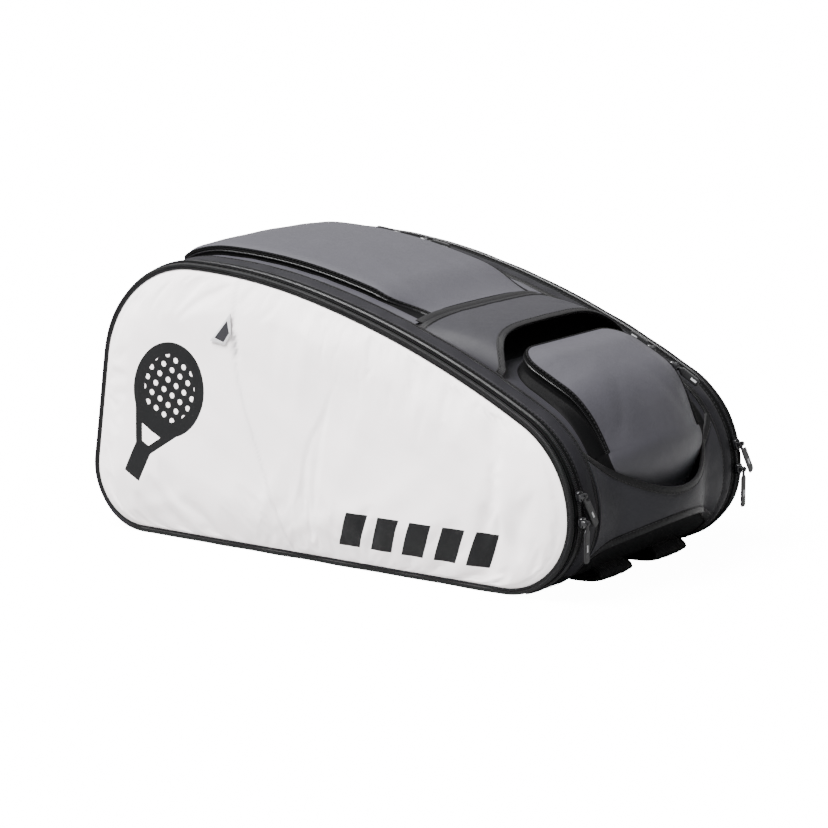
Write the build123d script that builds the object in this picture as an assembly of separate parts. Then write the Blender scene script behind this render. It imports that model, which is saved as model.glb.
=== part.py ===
from build123d import *
import math
import os

os.makedirs("parts", exist_ok=True)

# A padel racket bag lying on its back panel. Millimetres and degrees.
# +X points to the narrow, grab handle end, -Y to the wearer's right, +Z up.

# The side outline, walked anticlockwise in XZ as tangent arcs: radius, heading from, heading to.
back_lean = 262.25
turns = [
    (78, 0, 90),
    (105, 90, 151.7),
    (990, 151.7, 167.8),
    (630, 167.8, 180),
    (117, 180, back_lean),
    (63, back_lean, 360),
]
bottom_start = -239.6

# Stations across the bag, measured from its middle plane.
seam_y = 113.0
tape_y = 133.0
tape_end_y = 142.0
coil_y = 143.5
parting_y = 145.5
piping_y = 150.0
panel_y = 155.0
dome_y = 163.0

wall = 3.0
skin = 1.0
coil_wide = 3.0
coil_high = 1.8
piping_deep = 5.0
dome_inset = 50.0
binding_high = 2.0

# The centre's back is recessed for the shoulder straps.
recess = 15.0
pad_thick = 10.0
wrap_top = 68.0                 # heading where the black wrap round the narrow end stops

# Main compartment lid.
lid_from = 161.6
lid_to = 214.0
lid_half = 97.0
lid_wall = 6.0
lid_rise = 13.0
opening_half = 90.0

# Carry handle across the front.
carry_span = 113.0
carry_low = 9.0
carry_high = 28.5
carry_from_x = 70.7
carry_mid_x = 138.0
carry_flare = 30.0
carry_foot = 2.0                # how far the ends run below the outline
web = 4.0
edge_tape = 8.0

# Front pocket.
pocket_from = 118.3
pocket_to = 155.3
pocket_half = 90.0
pocket_top_half = 80.0
pocket_foot_half = 97.0
pocket_wall = 16.0
pocket_rise = 28.0

# Grab handle at the narrow end.
grab_x = 304.7
grab_root_x = 250.7
grab_top = (138.0, 91.0)        # height at the seams and in the middle
grab_low = (28.0, 59.0)
grab_foot = 88.0

# Shoulder straps.
strap_y = 50.0
strap_wide = 62.0
strap_thick = 12.0
strap_from_x = -91.3
strap_turn_x = 237.7
strap_hinge = (248.2, 17.5)
clearance = 0.6

# Zip sliders and pulls.
slider_long = 11.0
slider_wide = 9.0
slider_low = 2.4
slider_top = 5.4
pin_high = 8.6
pin_r = 1.1
eye_r = 2.6
eye_hole = 1.6
cheek_in = 2.5
cheek_out = 3.8
pull_wide = 8.5
pull_thick = 2.2
door_pull = 38.0
door_pull_lean = 34.0
lid_pull = 30.0

# Headings where the sliders are parked.
door_parked = (103.0, 90.0)
main_parked = (174.07, 171.04)
front_parked = (153.2, 150.0)


def sin(a):
    return math.sin(math.radians(a))


def cos(a):
    return math.cos(math.radians(a))


def arc_step(radius, start, stop):
    """How far an arc moves, in X and Z."""
    return radius * (sin(stop) - sin(start)), -radius * (cos(stop) - cos(start))


def closing_runs():
    """Lengths of the flat bottom and of the straight wide end that close the outline."""
    steps = [arc_step(*t) for t in turns]
    dx = sum(s[0] for s in steps)
    dz = sum(s[1] for s in steps)
    back = -dz / sin(back_lean)
    return -dx - back * cos(back_lean), back


def outline_arcs():
    """Each arc of the outline as centre x, centre z, radius, heading from, heading to."""
    bottom, back = closing_runs()
    x, z = bottom_start + bottom, 0.0
    arcs = []
    for radius, start, stop in turns:
        if start == back_lean:
            x, z = x + back * cos(back_lean), z + back * sin(back_lean)
        arcs.append((x - radius * sin(start), z + radius * cos(start), radius, start, stop))
        dx, dz = arc_step(radius, start, stop)
        x, z = x + dx, z + dz
    return arcs


arcs = outline_arcs()


def on_arc(arc, heading, out=0.0):
    """The point of an arc at a heading, standing out from the outline."""
    cx, cz, radius = arc[:3]
    return cx + (radius + out) * sin(heading), 0.0, cz - (radius + out) * cos(heading)


def arc_at(heading):
    return next(a for a in arcs if a[3] <= heading <= a[4])


def point(heading, out=0.0):
    return on_arc(arc_at(heading), heading, out)


def heading_at_x(x, out=0.0):
    """The heading of the upper outline where it reaches x."""
    for arc in arcs[1:4]:
        ratio = (x - arc[0]) / (arc[2] + out)
        if abs(ratio) < 1:
            heading = 180 - math.degrees(math.asin(ratio))
            if arc[3] <= heading <= arc[4]:
                return heading
    raise ValueError(x)


def clipped(start, stop):
    """The arcs between two headings, each cut to that range."""
    for arc in arcs:
        a, b = max(start, arc[3]), min(stop, arc[4])
        if b - a > 1e-6:
            yield arc, a, b


def rim(start, stop, out):
    """Edges along the outline between two headings, standing out from it."""
    edges = []
    last = None
    for arc, a, b in clipped(start, stop):
        first = on_arc(arc, a, out)
        if last and math.dist(last, first) > 1e-3:
            edges.append(Line(last, first))
        edges.append(ThreePointArc(first, on_arc(arc, (a + b) / 2, out), on_arc(arc, b, out)))
        last = on_arc(arc, b, out)
    return edges


def across(face, y0, y1):
    """A face in the XZ plane pulled from y0 to y1."""
    return extrude(Pos(0, y0, 0) * face, amount=y1 - y0, dir=(0, 1, 0))


def slab(start, stop, low, high, y0, y1):
    """A curved slab that follows the outline between two headings."""
    outer, inner = rim(start, stop, high), rim(start, stop, low)
    ends = [
        Line(outer[0] @ 0, inner[0] @ 0),
        Line(outer[-1] @ 1, inner[-1] @ 1),
    ]
    return across(make_face(outer + inner + ends), y0, y1)


def outline_wire(out, y=0.0):
    """The whole closed outline, standing out from itself."""
    edges = rim(0, 360, out)
    edges.append(Line(edges[-1] @ 1, edges[0] @ 0))
    return Pos(0, y, 0) * Wire(edges)


def full(out, y0, y1):
    return across(Face(outline_wire(out)), y0, y1)


def ring(low, high, y0, y1):
    return full(high, y0, y1) - full(low, y0, y1)


def along(points, start, stop):
    """A closed section, as (y, height) points, carried along the outline by its arcs."""
    solids = []
    for arc, a, b in clipped(start, stop):
        frame = Plane(origin=on_arc(arc, a), x_dir=(0, 1, 0), z_dir=(-cos(a), 0, -sin(a)))
        section = make_face(Polyline([frame.from_local_coords((y, h)) for y, h in points], close=True))
        solids.append(revolve(section, Axis((arc[0], 0, arc[1]), (0, -1, 0)), b - a))
    return fuse(solids)


def fuse(solids):
    total = solids[0]
    for solid in solids[1:]:
        total = total + solid
    return total


def mirrored(points):
    return [(-y, h) for y, h in points]


def save(name, shape):
    solids = shape.solids()
    export_step(Compound(children=list(solids)) if len(solids) > 1 else solids[0], f"parts/{name}.step")


def spot(name, x, y, z):
    print(f"SPOT {name} {x:.3f} {y:.3f} {z:.3f}")


# Centre of the bag.
def pad_ends():
    """Where the recessed back meets the outline's two lower corners, as headings."""
    narrow = math.degrees(math.acos((turns[0][0] - recess) / turns[0][0]))
    wide = 360 - math.degrees(math.acos((turns[5][0] - recess) / turns[5][0]))
    return narrow, wide


def make_centre():
    narrow, wide = pad_ends()
    save("base_panel", slab(lid_to + 1, wide, -wall, 0, -seam_y, seam_y))
    save("front_panel", slab(wrap_top, lid_from, -wall, 0, -seam_y, seam_y))
    save("end_wrap", slab(narrow, wrap_top, -wall, 0, -seam_y, seam_y))
    sides = slab(lid_from, lid_to + 1, -wall, 0, -seam_y, -opening_half)
    save("main_rim", Compound(children=[*sides.solids(), *mirror(sides, Plane.XZ).solids()]))
    x0, x1 = point(wide)[0] + wall, point(narrow)[0] - wall
    pad = Pos((x0 + x1) / 2, 0, recess + pad_thick / 2) * Box(x1 - x0 - 4, 2 * seam_y - 1, pad_thick)
    save("back_panel", pad - (full(200, -200, 200) - full(-wall - 0.5, -200, 200)))
    board = Pos(-21, 0, recess + pad_thick + 2) * Box(460, 2 * seam_y - 16, 2)
    save("back_stiffener", board)


# The two racket compartments.
def make_side(name, side):
    def place(shape):
        return shape if side > 0 else mirror(shape, Plane.XZ)

    narrow, wide = pad_ends()
    gusset = ring(-wall, -skin, seam_y, tape_end_y) + ring(-skin, 0, seam_y, tape_y)
    save(f"{name}_gusset", place(gusset))
    save(f"{name}_divider", place(full(-wall - 0.2, seam_y, seam_y + wall)))
    save(f"{name}_zip_tape", place(ring(-skin, 0, tape_y, tape_end_y)))
    half = coil_wide / 2
    coil = slab(14, 346, -0.5, coil_high, coil_y - half, coil_y + half)
    save(f"{name}_zip_coil", place(coil))
    save(f"{name}_seam_binding", place(slab(narrow, wide, 0, binding_high, seam_y - 2, seam_y + 5)))
    save(f"{name}_door_tape", place(ring(-skin, 0, parting_y, piping_y)))
    save(f"{name}_piping", place(ring(-piping_deep, 0, piping_y, panel_y)))

    edge = -piping_deep - 0.2

    def crown(inset, y):
        """The panel's domed volume, moved in and down by the wall for its hollow side."""
        low = outline_wire(edge - inset, y)
        high = outline_wire(-dome_inset - inset, y + dome_y - panel_y)
        return Solid.make_loft([low, high], True)

    lip = ring(edge - wall, -skin, piping_y - 2, piping_y) + ring(-wall - 1, -skin, parting_y, piping_y - 2)
    panel = lip + full(edge, piping_y, panel_y) + crown(0, panel_y)
    panel = panel - full(edge - wall, piping_y - 1, panel_y - wall) - crown(wall, panel_y - wall)
    save(f"{name}_side_panel", place(panel))
    spot(f"{name}_door", 0, side * parting_y, 0)


# Main compartment: zip wall, coil and lid.
def make_main():
    inner = lid_half - wall
    sides = [(inner, 0), (lid_half, 0), (lid_half, lid_wall), (inner, lid_wall)]
    end = [(-lid_half, 0), (lid_half, 0), (lid_half, lid_wall), (-lid_half, lid_wall)]
    walls = [along(sides, lid_from, lid_to), along(mirrored(sides), lid_from, lid_to)]
    save("main_zip_wall", fuse(walls + [along(end, lid_to, lid_to + 0.8)]))

    near, far = lid_half + 0.4, lid_half + 1.9
    strip = [(near, 5), (far, 5), (far, 8), (near, 8)]
    tail = [(-far, 5), (far, 5), (far, 8), (-far, 8)]
    coil = [along(strip, lid_from, lid_to + 1.3), along(mirrored(strip), lid_from, lid_to + 1.3)]
    save("main_zip_coil", fuse(coil + [along(tail, lid_to + 1.3, lid_to + 2.1)]))

    low, edge = lid_wall + 1, lid_rise - 3
    outer = [(-lid_half, low), (-lid_half, edge), (-lid_half + 11, lid_rise)]
    outer += [(-y, h) for y, h in reversed(outer)]
    thin = 3.0
    inside = [(inner, low), (inner, edge - 1.5), (lid_half - 12, lid_rise - thin)]
    inside += [(-y, h) for y, h in reversed(inside)]
    hinge_from = lid_from + 0.25
    shell = along(outer + inside, hinge_from, lid_to)
    caps = [along(outer, hinge_from, hinge_from + 0.4), along(outer, lid_to - 1, lid_to + 0.8)]
    save("main_lid", fuse([shell] + caps))
    spot("main_lid", *point(hinge_from, lid_rise))


# Carry handle: a wide web that bridges the front, with taped edges.
def carry_arch(share):
    """The handle's height across the bag, as a share of its middle height."""
    return max(0.0, 1 - abs(share) ** 4) ** 0.6


def make_carry():
    side_x = carry_mid_x + carry_flare
    h0 = heading_at_x(carry_from_x)
    h1 = heading_at_x(side_x)
    shares = [-1, -0.985, -0.93, -0.8, -0.5, 0, 0.5, 0.8, 0.93, 0.985, 1]

    def section(heading, rise):
        frame = Plane(origin=point(heading), x_dir=(0, 1, 0), z_dir=(-cos(heading), 0, -sin(heading)))

        def edge(span, height):
            total = height + carry_foot
            knots = [(span * k, total * carry_arch(k) - carry_foot) for k in shares]
            return Spline([frame.from_local_coords(k) for k in knots])

        top, under = edge(carry_span, rise), edge(carry_span - web, rise - web)
        feet = [Line(top @ 0, under @ 0), Line(top @ 1, under @ 1)]
        return make_face([top, under] + feet)

    slope = (carry_high - carry_low) / (carry_mid_x - carry_from_x)
    high = carry_low + slope * (side_x - carry_from_x)
    band = loft([section(h0, carry_low), section(h1, high)], ruled=True)
    binding = full(binding_high, seam_y - 2, seam_y + 5)
    band = band - full(0, -carry_span - 5, carry_span + 5) - binding - mirror(binding, Plane.XZ)

    def plan(shift_low, shift_high):
        """The handle's plan between its straight edge and its square-shouldered mouth, moved in by shifts."""
        x0 = carry_from_x + shift_low
        knots = [(carry_mid_x + carry_flare * abs(k) ** 6 - shift_high, carry_span * k, 0) for k in shares]
        mouth = Spline(knots)
        near, far = (x0 - 30, -carry_span, 0), (x0 - 30, carry_span, 0)
        edges = [mouth, Line(mouth @ 0, near), Line(near, far), Line(far, mouth @ 1)]
        return extrude(make_face(edges), amount=400)

    cut = Pos(carry_from_x + edge_tape - 100, 0, 200) * Box(200, 400, 400)
    web_part = (band & plan(0, edge_tape)) - cut
    save("carry_handle", web_part)
    tapes = [*((band & plan(0, 0)) - plan(0, edge_tape)).solids(), *(band & cut).solids()]
    save("carry_handle_tape", Compound(children=tapes))


# Front pocket: walls, fixed foot, coil and lid.
def make_pocket():
    side = [(pocket_foot_half, 0), (pocket_half, 9), (pocket_half, pocket_wall)]
    side += [(pocket_half - wall, pocket_wall), (pocket_half - wall, 9), (pocket_foot_half - wall, 0)]
    block = [(-pocket_foot_half, 0), (pocket_foot_half, 0), (pocket_half, 9), (pocket_half, pocket_wall)]
    block += [(-pocket_half, pocket_wall), (-pocket_half, 9)]
    walls = [along(side, pocket_from, pocket_to), along(mirrored(side), pocket_from, pocket_to)]
    save("front_pocket", fuse(walls + [along(block, pocket_to, pocket_to + 0.4)]))

    near, far = pocket_half + 0.4, pocket_half + 1.9
    strip = [(near, 15), (far, 15), (far, 18), (near, 18)]
    tail = [(-far, 15), (far, 15), (far, 18), (-far, 18)]
    stop = pocket_to + 0.6
    coil = [along(strip, pocket_from, stop), along(mirrored(strip), pocket_from, stop)]
    save("front_zip_coil", fuse(coil + [along(tail, stop, stop + 0.1)]))

    low, edge = pocket_wall + 1, 21
    outer = [(-pocket_half, low), (-pocket_half, edge), (-pocket_top_half, pocket_rise)]
    outer += [(-y, h) for y, h in reversed(outer)]
    inside = [(pocket_half - wall, low), (pocket_half - wall, edge - 1), (pocket_top_half - wall, pocket_rise - wall)]
    inside += [(-y, h) for y, h in reversed(inside)]
    hinge_from = pocket_from + 0.4
    shell = along(outer + inside, hinge_from, pocket_to)
    caps = [along(outer, hinge_from, hinge_from + 1), along(outer, pocket_to - 0.3, pocket_to + 0.4)]
    save("front_lid", fuse([shell] + caps))
    spot("front_lid", *point(hinge_from, pocket_rise))

    def foot(heading, points):
        frame = Plane(origin=point(heading), x_dir=(0, 1, 0), z_dir=(-cos(heading), 0, -sin(heading)))
        return make_face(Polyline([frame.from_local_coords((y, h)) for y, h in points], close=True))

    wide = [(-pocket_foot_half, -8), (-pocket_half, 17), (-pocket_top_half, pocket_rise)]
    wide += [(-y, h) for y, h in reversed(wide)]
    slim = [(-50, -8), (-48, 1), (-46, 3)]
    slim += [(-y, h) for y, h in reversed(slim)]
    lower = loft([foot(pocket_from, wide), foot(88, slim)], ruled=True)
    save("front_pocket_foot", lower - full(0, -150, 150))


# Grab handle across the narrow end.
def make_grab():
    def crescent(inset):
        y = seam_y - inset
        return ThreePointArc((grab_root_x, -y, 0), (grab_x - inset, 0, 0), (grab_root_x, y, 0))

    outer, inner = crescent(0), crescent(web)
    bow = make_face([outer, inner, Line(outer @ 0, inner @ 0), Line(outer @ 1, inner @ 1)])
    band = extrude(bow, amount=160) - full(0, -150, 150)
    pads = slab(20, 140, 0, wall, grab_foot, seam_y)
    pads = pads + mirror(pads, Plane.XZ)
    band = fuse([band, pads])

    def window(top_shift, low_shift):
        """The handle's waisted outline seen from the end, with its two edges moved in."""
        y, x = seam_y - 2.2, grab_root_x - 42
        top = [h - top_shift for h in grab_top]
        low = [h + low_shift for h in grab_low]
        upper = ThreePointArc((x, -y, top[0]), (x, 0, top[1]), (x, y, top[0]))
        lower = ThreePointArc((x, -y, low[0]), (x, 0, low[1]), (x, y, low[0]))
        ends = [Line(upper @ 0, lower @ 0), Line(upper @ 1, lower @ 1)]
        return extrude(make_face([upper, lower] + ends), amount=120, dir=(1, 0, 0))

    save("end_handle", band & window(edge_tape, edge_tape))
    save("end_handle_tape", (band & window(0, 0)) - window(edge_tape, edge_tape))


# Shoulder straps, their ladder locks, webbing and lower anchors.
def make_strap(name, side):
    y = side * strap_y
    half = strap_thick
    length = strap_turn_x - strap_from_x
    pad = Pos(strap_from_x + length / 2, y, half / 2) * Box(length, strap_wide, half)
    turn = Pos(strap_turn_x, y, half) * Rot(90, 0, 0) * Cylinder(half, strap_wide)
    turn = turn - Pos(strap_turn_x - 50, y, 50) * Box(100, 2 * strap_wide, 100)
    body = full(clearance, -seam_y, seam_y) & (Pos(0, 0, recess + 150) * Box(700, 400, 300))
    save(f"{name}_strap", fuse([pad, turn]) - body)

    frame_long, frame_wide, frame_high = 26, 50, 5
    x = strap_from_x - frame_long / 2
    lock = Pos(x, y, 4.5) * Box(frame_long, frame_wide, frame_high)
    for shift in (-6.5, 4.5):
        lock = lock - Pos(x + shift, y, 4.5) * Box(5, frame_wide - 9, 2 * frame_high)
    save(f"{name}_ladder_lock", lock)
    web_x0, web_x1 = -243.3, x - frame_long / 2 - 0.6
    webbing = Pos((web_x0 + web_x1) / 2, y, 4.5) * Box(web_x1 - web_x0, 38, 1.6)
    save(f"{name}_webbing", webbing)
    anchor = Pos(web_x0 - 8, y, 9.5) * Box(14, 44, 10)
    save(f"{name}_strap_anchor", anchor)
    spot(f"{name}_strap", strap_hinge[0], y, strap_hinge[1])


# Zip sliders and pulls. Local X runs along the zip, Y across it, Z out of the tape.
def slider_shape():
    body = Pos(0, 0, (slider_low + slider_top) / 2) * Box(slider_long, slider_wide, slider_top - slider_low)
    for side in (-1, 1):
        flange = Box(slider_long, 1.3, slider_low - 0.4)
        body = body + Pos(0, side * (slider_wide / 2 - 0.65), (slider_low + 0.4) / 2) * flange
        cheek = Box(4, cheek_out - cheek_in, pin_high + 1.5 - slider_top)
        lift = (pin_high + 1.5 + slider_top) / 2
        body = body + Pos(0, side * (cheek_in + cheek_out) / 2, lift) * cheek
    return body + Pos(0, 0, pin_high) * Rot(90, 0, 0) * Cylinder(pin_r, 2 * cheek_out)


def pull_shape(length, lean):
    """A tab on an eye round the slider's pin; the tab leans sideways about the outward axis."""
    eye = Rot(90, 0, 0) * Cylinder(eye_r, 4)
    hole = Rot(90, 0, 0) * Cylinder(eye_hole, 8)
    neck = Pos(4, 0, 0) * Box(5, 3.6, pull_thick)
    tab = Rot(0, 0, lean) * Pos(6 + (length - 6) / 2, 0, 0) * Box(length - 6, pull_wide, pull_thick)
    return (eye + neck + tab) - hole


def make_zip_end(name, seat_at, tab_dir, tab_out, length, lean=0.0):
    """One slider and its pull; tab_dir is where the pull points at rest."""
    origin, along_zip, out = seat_at
    seat = Plane(origin=origin, x_dir=along_zip, z_dir=out)
    save(f"{name}_slider", seat * slider_shape())
    pin = seat.from_local_coords((0, 0, pin_high))
    hang = Plane(origin=pin, x_dir=tab_dir, z_dir=tab_out)
    save(f"{name}_pull", hang * pull_shape(length, lean))
    spot(f"{name}_pin", *pin)
    spot(f"{name}_axis", *(-hang.y_dir))


def tangent(heading):
    return Vector(cos(heading), 0, sin(heading))


def outward(heading):
    return Vector(sin(heading), 0, -cos(heading))


def make_zips():
    for name, side in (("right", -1), ("left", 1)):
        for which, heading, lean in zip(("upper", "lower"), door_parked, (door_pull_lean, 0)):
            x, _, z = point(heading)
            pin_at = (x, side * coil_y, z)
            seat = (pin_at, tangent(heading), outward(heading))
            make_zip_end(f"{name}_{which}", seat, (0, 0, -1), (1, 0, 0), door_pull, lean)

    for name, heading, way in zip(("main_a", "main_b"), main_parked, (1, -1)):
        x, _, z = point(heading, 6.5)
        seat = ((x, lid_half, z), tangent(heading), (0, 1, 0))
        make_zip_end(name, seat, tangent(heading) * way, (0, 1, 0), lid_pull)
    for name, heading, way in zip(("front_a", "front_b"), front_parked, (1, -1)):
        x, _, z = point(heading, 16.5)
        seat = ((x, pocket_half, z), tangent(heading), (0, 1, 0))
        make_zip_end(name, seat, tangent(heading) * way, (0, 1, 0), lid_pull)

    for label, arc in zip(("r78", "r105", "r990", "r630"), arcs):
        spot(f"centre_{label}", arc[0], 0, arc[1])


make_centre()
for bag_side in (("right", -1), ("left", 1)):
    make_side(*bag_side)
    make_strap(*bag_side)
make_main()
make_carry()
make_pocket()
make_grab()
make_zips()
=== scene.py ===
import math
import re
import bpy
import numpy as np
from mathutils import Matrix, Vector


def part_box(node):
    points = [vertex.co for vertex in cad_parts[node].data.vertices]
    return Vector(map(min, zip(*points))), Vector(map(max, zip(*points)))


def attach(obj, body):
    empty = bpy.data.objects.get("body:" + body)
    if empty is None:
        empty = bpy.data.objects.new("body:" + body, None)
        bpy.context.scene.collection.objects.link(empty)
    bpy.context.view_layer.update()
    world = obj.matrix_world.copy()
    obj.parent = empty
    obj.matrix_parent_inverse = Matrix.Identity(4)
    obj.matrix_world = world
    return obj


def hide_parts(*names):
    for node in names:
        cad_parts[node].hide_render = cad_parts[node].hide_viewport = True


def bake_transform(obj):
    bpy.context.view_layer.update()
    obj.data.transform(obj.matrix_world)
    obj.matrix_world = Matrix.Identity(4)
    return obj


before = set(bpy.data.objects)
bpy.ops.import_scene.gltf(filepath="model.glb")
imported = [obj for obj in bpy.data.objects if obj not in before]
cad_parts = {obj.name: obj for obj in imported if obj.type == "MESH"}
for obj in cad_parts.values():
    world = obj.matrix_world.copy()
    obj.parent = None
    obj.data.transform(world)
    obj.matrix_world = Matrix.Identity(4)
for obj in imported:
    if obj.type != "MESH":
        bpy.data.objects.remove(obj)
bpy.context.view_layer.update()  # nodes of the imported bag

mm = 0.001  # shapes are worked out in millimetres and stored in metres
pi = math.pi
print("frame loaded:", len(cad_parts), "nodes")

bag = {
    # turns of the outline: radius, then heading in degrees where each starts and ends
    "turns": [(78, 0, 90), (105, 90, 151.7), (990, 151.7, 167.8), (630, 167.8, 180), (117, 180, 262.25),
              (63, 262.25, 360)],
    "seam": 113.0, "tape": 133.0, "tapeEnd": 142.0, "coil": 143.5, "parting": 145.5,
    "piping": 150.0, "rim": 155.0, "dome": 163.0, "wrapTop": 68.0,
    "zipFrom": 14.0, "zipTo": 346.0,  # headings where the racket compartment's zip starts and ends
}
sides = {"right": -1, "left": 1}


# The outline of the bag is straight runs and tangent turns, walked by length.
turnRadius, turnFrom, turnTo = (np.array(v, float) for v in zip(*bag["turns"]))
turnFrom, turnTo = np.radians(turnFrom), np.radians(turnTo)
lean = turnFrom[-1]
backRun = -(turnRadius * (np.cos(turnFrom) - np.cos(turnTo))).sum() / math.sin(lean)
bottomRun = -(turnRadius * (np.sin(turnTo) - np.sin(turnFrom))).sum() - backRun * math.cos(lean)
runRadius = np.array([0, *turnRadius[:5], 0, turnRadius[5]])
runFrom = np.array([0, *turnFrom[:5], lean, turnFrom[5]])
runTo = np.array([0, *turnTo[:5], lean, turnTo[5]])
runLength = runRadius * (runTo - runFrom) + np.array([bottomRun, 0, 0, 0, 0, 0, backRun, 0])
isTurn = runRadius > 0
stepX = np.where(isTurn, runRadius * (np.sin(runTo) - np.sin(runFrom)), runLength * np.cos(runFrom))
stepZ = np.where(isTurn, runRadius * (np.cos(runFrom) - np.cos(runTo)), runLength * np.sin(runFrom))
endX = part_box("right_gusset")[1].x / mm  # the outline's furthest point, at heading 90
runX = endX - stepX[:2].sum() + np.concatenate([[0], np.cumsum(stepX)[:-1]])
runZ = np.concatenate([[0], np.cumsum(stepZ)[:-1]])
runStart = np.concatenate([[0], np.cumsum(runLength)[:-1]])
girth = runLength.sum()


def runAt(s):
    # Run number, length into it and heading at each length: heading = start + length / radius.
    s = np.mod(s, girth)
    i = np.clip(np.searchsorted(runStart, s, side="right") - 1, 0, len(runStart) - 1)
    into = s - runStart[i]
    return i, into, runFrom[i] + np.where(isTurn[i], into / np.where(isTurn[i], runRadius[i], 1), 0)


def onBag(s, y, out):
    # Outline point at length s, moved out along the outline's normal and across by y.
    s, y, out = np.broadcast_arrays(*(np.asarray(v, float) for v in (s, y, out)))
    i, into, heading = runAt(s)
    turn = isTurn[i]
    rise = np.where(turn, runRadius[i] * (np.cos(runFrom[i]) - np.cos(heading)), into * np.sin(heading))
    run = np.where(turn, runRadius[i] * (np.sin(heading) - np.sin(runFrom[i])), into * np.cos(heading))
    return np.stack([runX[i] + run + out * np.sin(heading), y, runZ[i] + rise - out * np.cos(heading)], -1)


def outwardAt(s):
    heading = runAt(s)[2]
    return np.stack([np.sin(heading), 0 * heading, -np.cos(heading)], -1)


def forwardAt(s):
    heading = runAt(s)[2]
    return np.stack([np.cos(heading), 0 * heading, np.sin(heading)], -1)


def lengthAt(degrees):
    # Length along the outline where a turn has this heading.
    knots = np.append(runFrom[[1, 2, 3, 4, 5]], [lean, lean + 1e-6, 2 * pi])
    return float(np.interp(math.radians(degrees), knots, np.append(runStart[1:], girth)))


topLengths = np.linspace(lengthAt(90), lengthAt(262), 3000)
topXs = onBag(topLengths, 0, 0)[:, 0]


def lengthAtX(x):
    # Length along the upper outline where it passes x.
    return np.interp(-np.asarray(x, float), -topXs, topLengths)


def smooth(t):
    t = np.clip(t, 0, 1)
    return t * t * (3 - 2 * t)


def bell(v, wide):
    # 1 at nought and less either way: exp(-(v / wide)^2).
    return np.exp(-(v / wide) ** 2)


def span(count):
    return np.linspace(-1, 1, count)


def ripple(a, b, size, seed, stretch=1.0):
    # Nine sine waves with random directions and phases, about -1 to 1; size is their wavelength.
    draw = np.random.default_rng(seed)
    waves = zip(draw.uniform(0, pi, 9), draw.uniform(0, 2 * pi, 9), draw.uniform(0.7, 1.6, 9))
    total = 0
    for angle, phase, scale in waves:
        far = a * math.cos(angle) / stretch + b * math.sin(angle)
        total = total + np.sin(far * 2 * pi * scale / size + phase)
    return total / 4.5


def crease(a, b, folds):
    # Sum of soft ridges: height * exp(-(along/long)^2) * exp(-(across/wide)^2).
    total = 0
    for atA, atB, degrees, long, wide, height in folds:
        c, s = math.cos(math.radians(degrees)), math.sin(math.radians(degrees))
        along, across = (a - atA) * c + (b - atB) * s, (b - atB) * c - (a - atA) * s
        total = total + height * np.exp(-(along / long) ** 2 - (across / wide) ** 2)
    return total


def xy(x, y):
    return np.stack(np.broadcast_arrays(x, y), -1)


def xyz(x, y, z):
    # Points from three arrays of any matching shapes.
    return np.stack(np.broadcast_arrays(x, y, z), -1)


# Forms are closed skins: points, four-cornered faces, face coordinates and look numbers.
def gridFaces(rows, cols, wrapRows=False, wrapCols=False):
    # Corner numbers of each cell of a grid of points.
    i, j = np.arange(rows - (not wrapRows))[:, None], np.arange(cols - (not wrapCols))[None]
    i2, j2 = (i + 1) % rows, (j + 1) % cols
    cells = np.broadcast_arrays(i * cols + j, i2 * cols + j, i2 * cols + j2, i * cols + j2)
    return np.stack(cells, -1).reshape(-1, 4)


def gridUv(points, wrapRows=False, wrapCols=False):
    # Face coordinates in metres: mean length run along the rows and along the columns.
    rows, cols = points.shape[:2]
    rowRun = np.linalg.norm(np.diff(points, axis=0, append=points[:1]), axis=2).mean(1)
    colRun = np.linalg.norm(np.diff(points, axis=1, append=points[:, :1]), axis=2).mean(0)
    u, v = (np.concatenate([[0], np.cumsum(run)]) * mm for run in (rowRun, colRun))
    i, j = np.arange(rows - (not wrapRows))[:, None], np.arange(cols - (not wrapCols))[None]
    corners = [xy(u[i + a], v[j + b]) for a, b in ((0, 0), (1, 0), (1, 1), (0, 1))]
    return np.stack(corners, 2).reshape(-1, 4, 2)


def shellForm(top, bottom, wrap=False, look=0, innerLook=None, rimLook=None):
    # Two sheets on the same grid, each cell a face, joined round their rims into a closed skin.
    rows, cols = top.shape[:2]
    size = rows * cols
    skin, uv = gridFaces(rows, cols, wrap), gridUv(top, wrap)
    i, j = np.arange(rows), np.arange(cols)
    rims = [i * cols, i[::-1] * cols + cols - 1]
    if not wrap:
        rims = [np.concatenate([rims[0], (rows - 1) * cols + j[1:], rims[1][1:], j[::-1][1:-1]])]
    faces, uvs = [skin, skin[:, ::-1] + size], [uv, uv[:, ::-1]]
    wide = 2 * mm
    for rim in rims:
        ahead = np.roll(rim, -1)
        faces.append(np.stack([ahead, rim, rim + size, ahead + size], 1))
        u = np.arange(len(rim)) * wide
        uvs.append(np.stack([xy(u + a, b) for a, b in ((wide, 0), (0, 0), (0, wide), (wide, wide))], 1))
    skinLook = np.broadcast_to(look, (rows - (not wrap), cols - 1)).reshape(-1)
    underLook = skinLook if innerLook is None else np.full(len(skin), innerLook)
    edgeLook = np.full(sum(len(rim) for rim in rims), skinLook[0] if rimLook is None else rimLook)
    looks = np.concatenate([skinLook, underLook, edgeLook])
    points = np.concatenate([top.reshape(-1, 3), bottom.reshape(-1, 3)])
    return points, np.concatenate(faces), np.concatenate(uvs), looks


def slab(s, y, h, thick, **choice):
    # A sheet on the bag, h off its outline, and its underside.
    return shellForm(onBag(s, y, h), onBag(s, y, h - thick), **choice)


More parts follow.
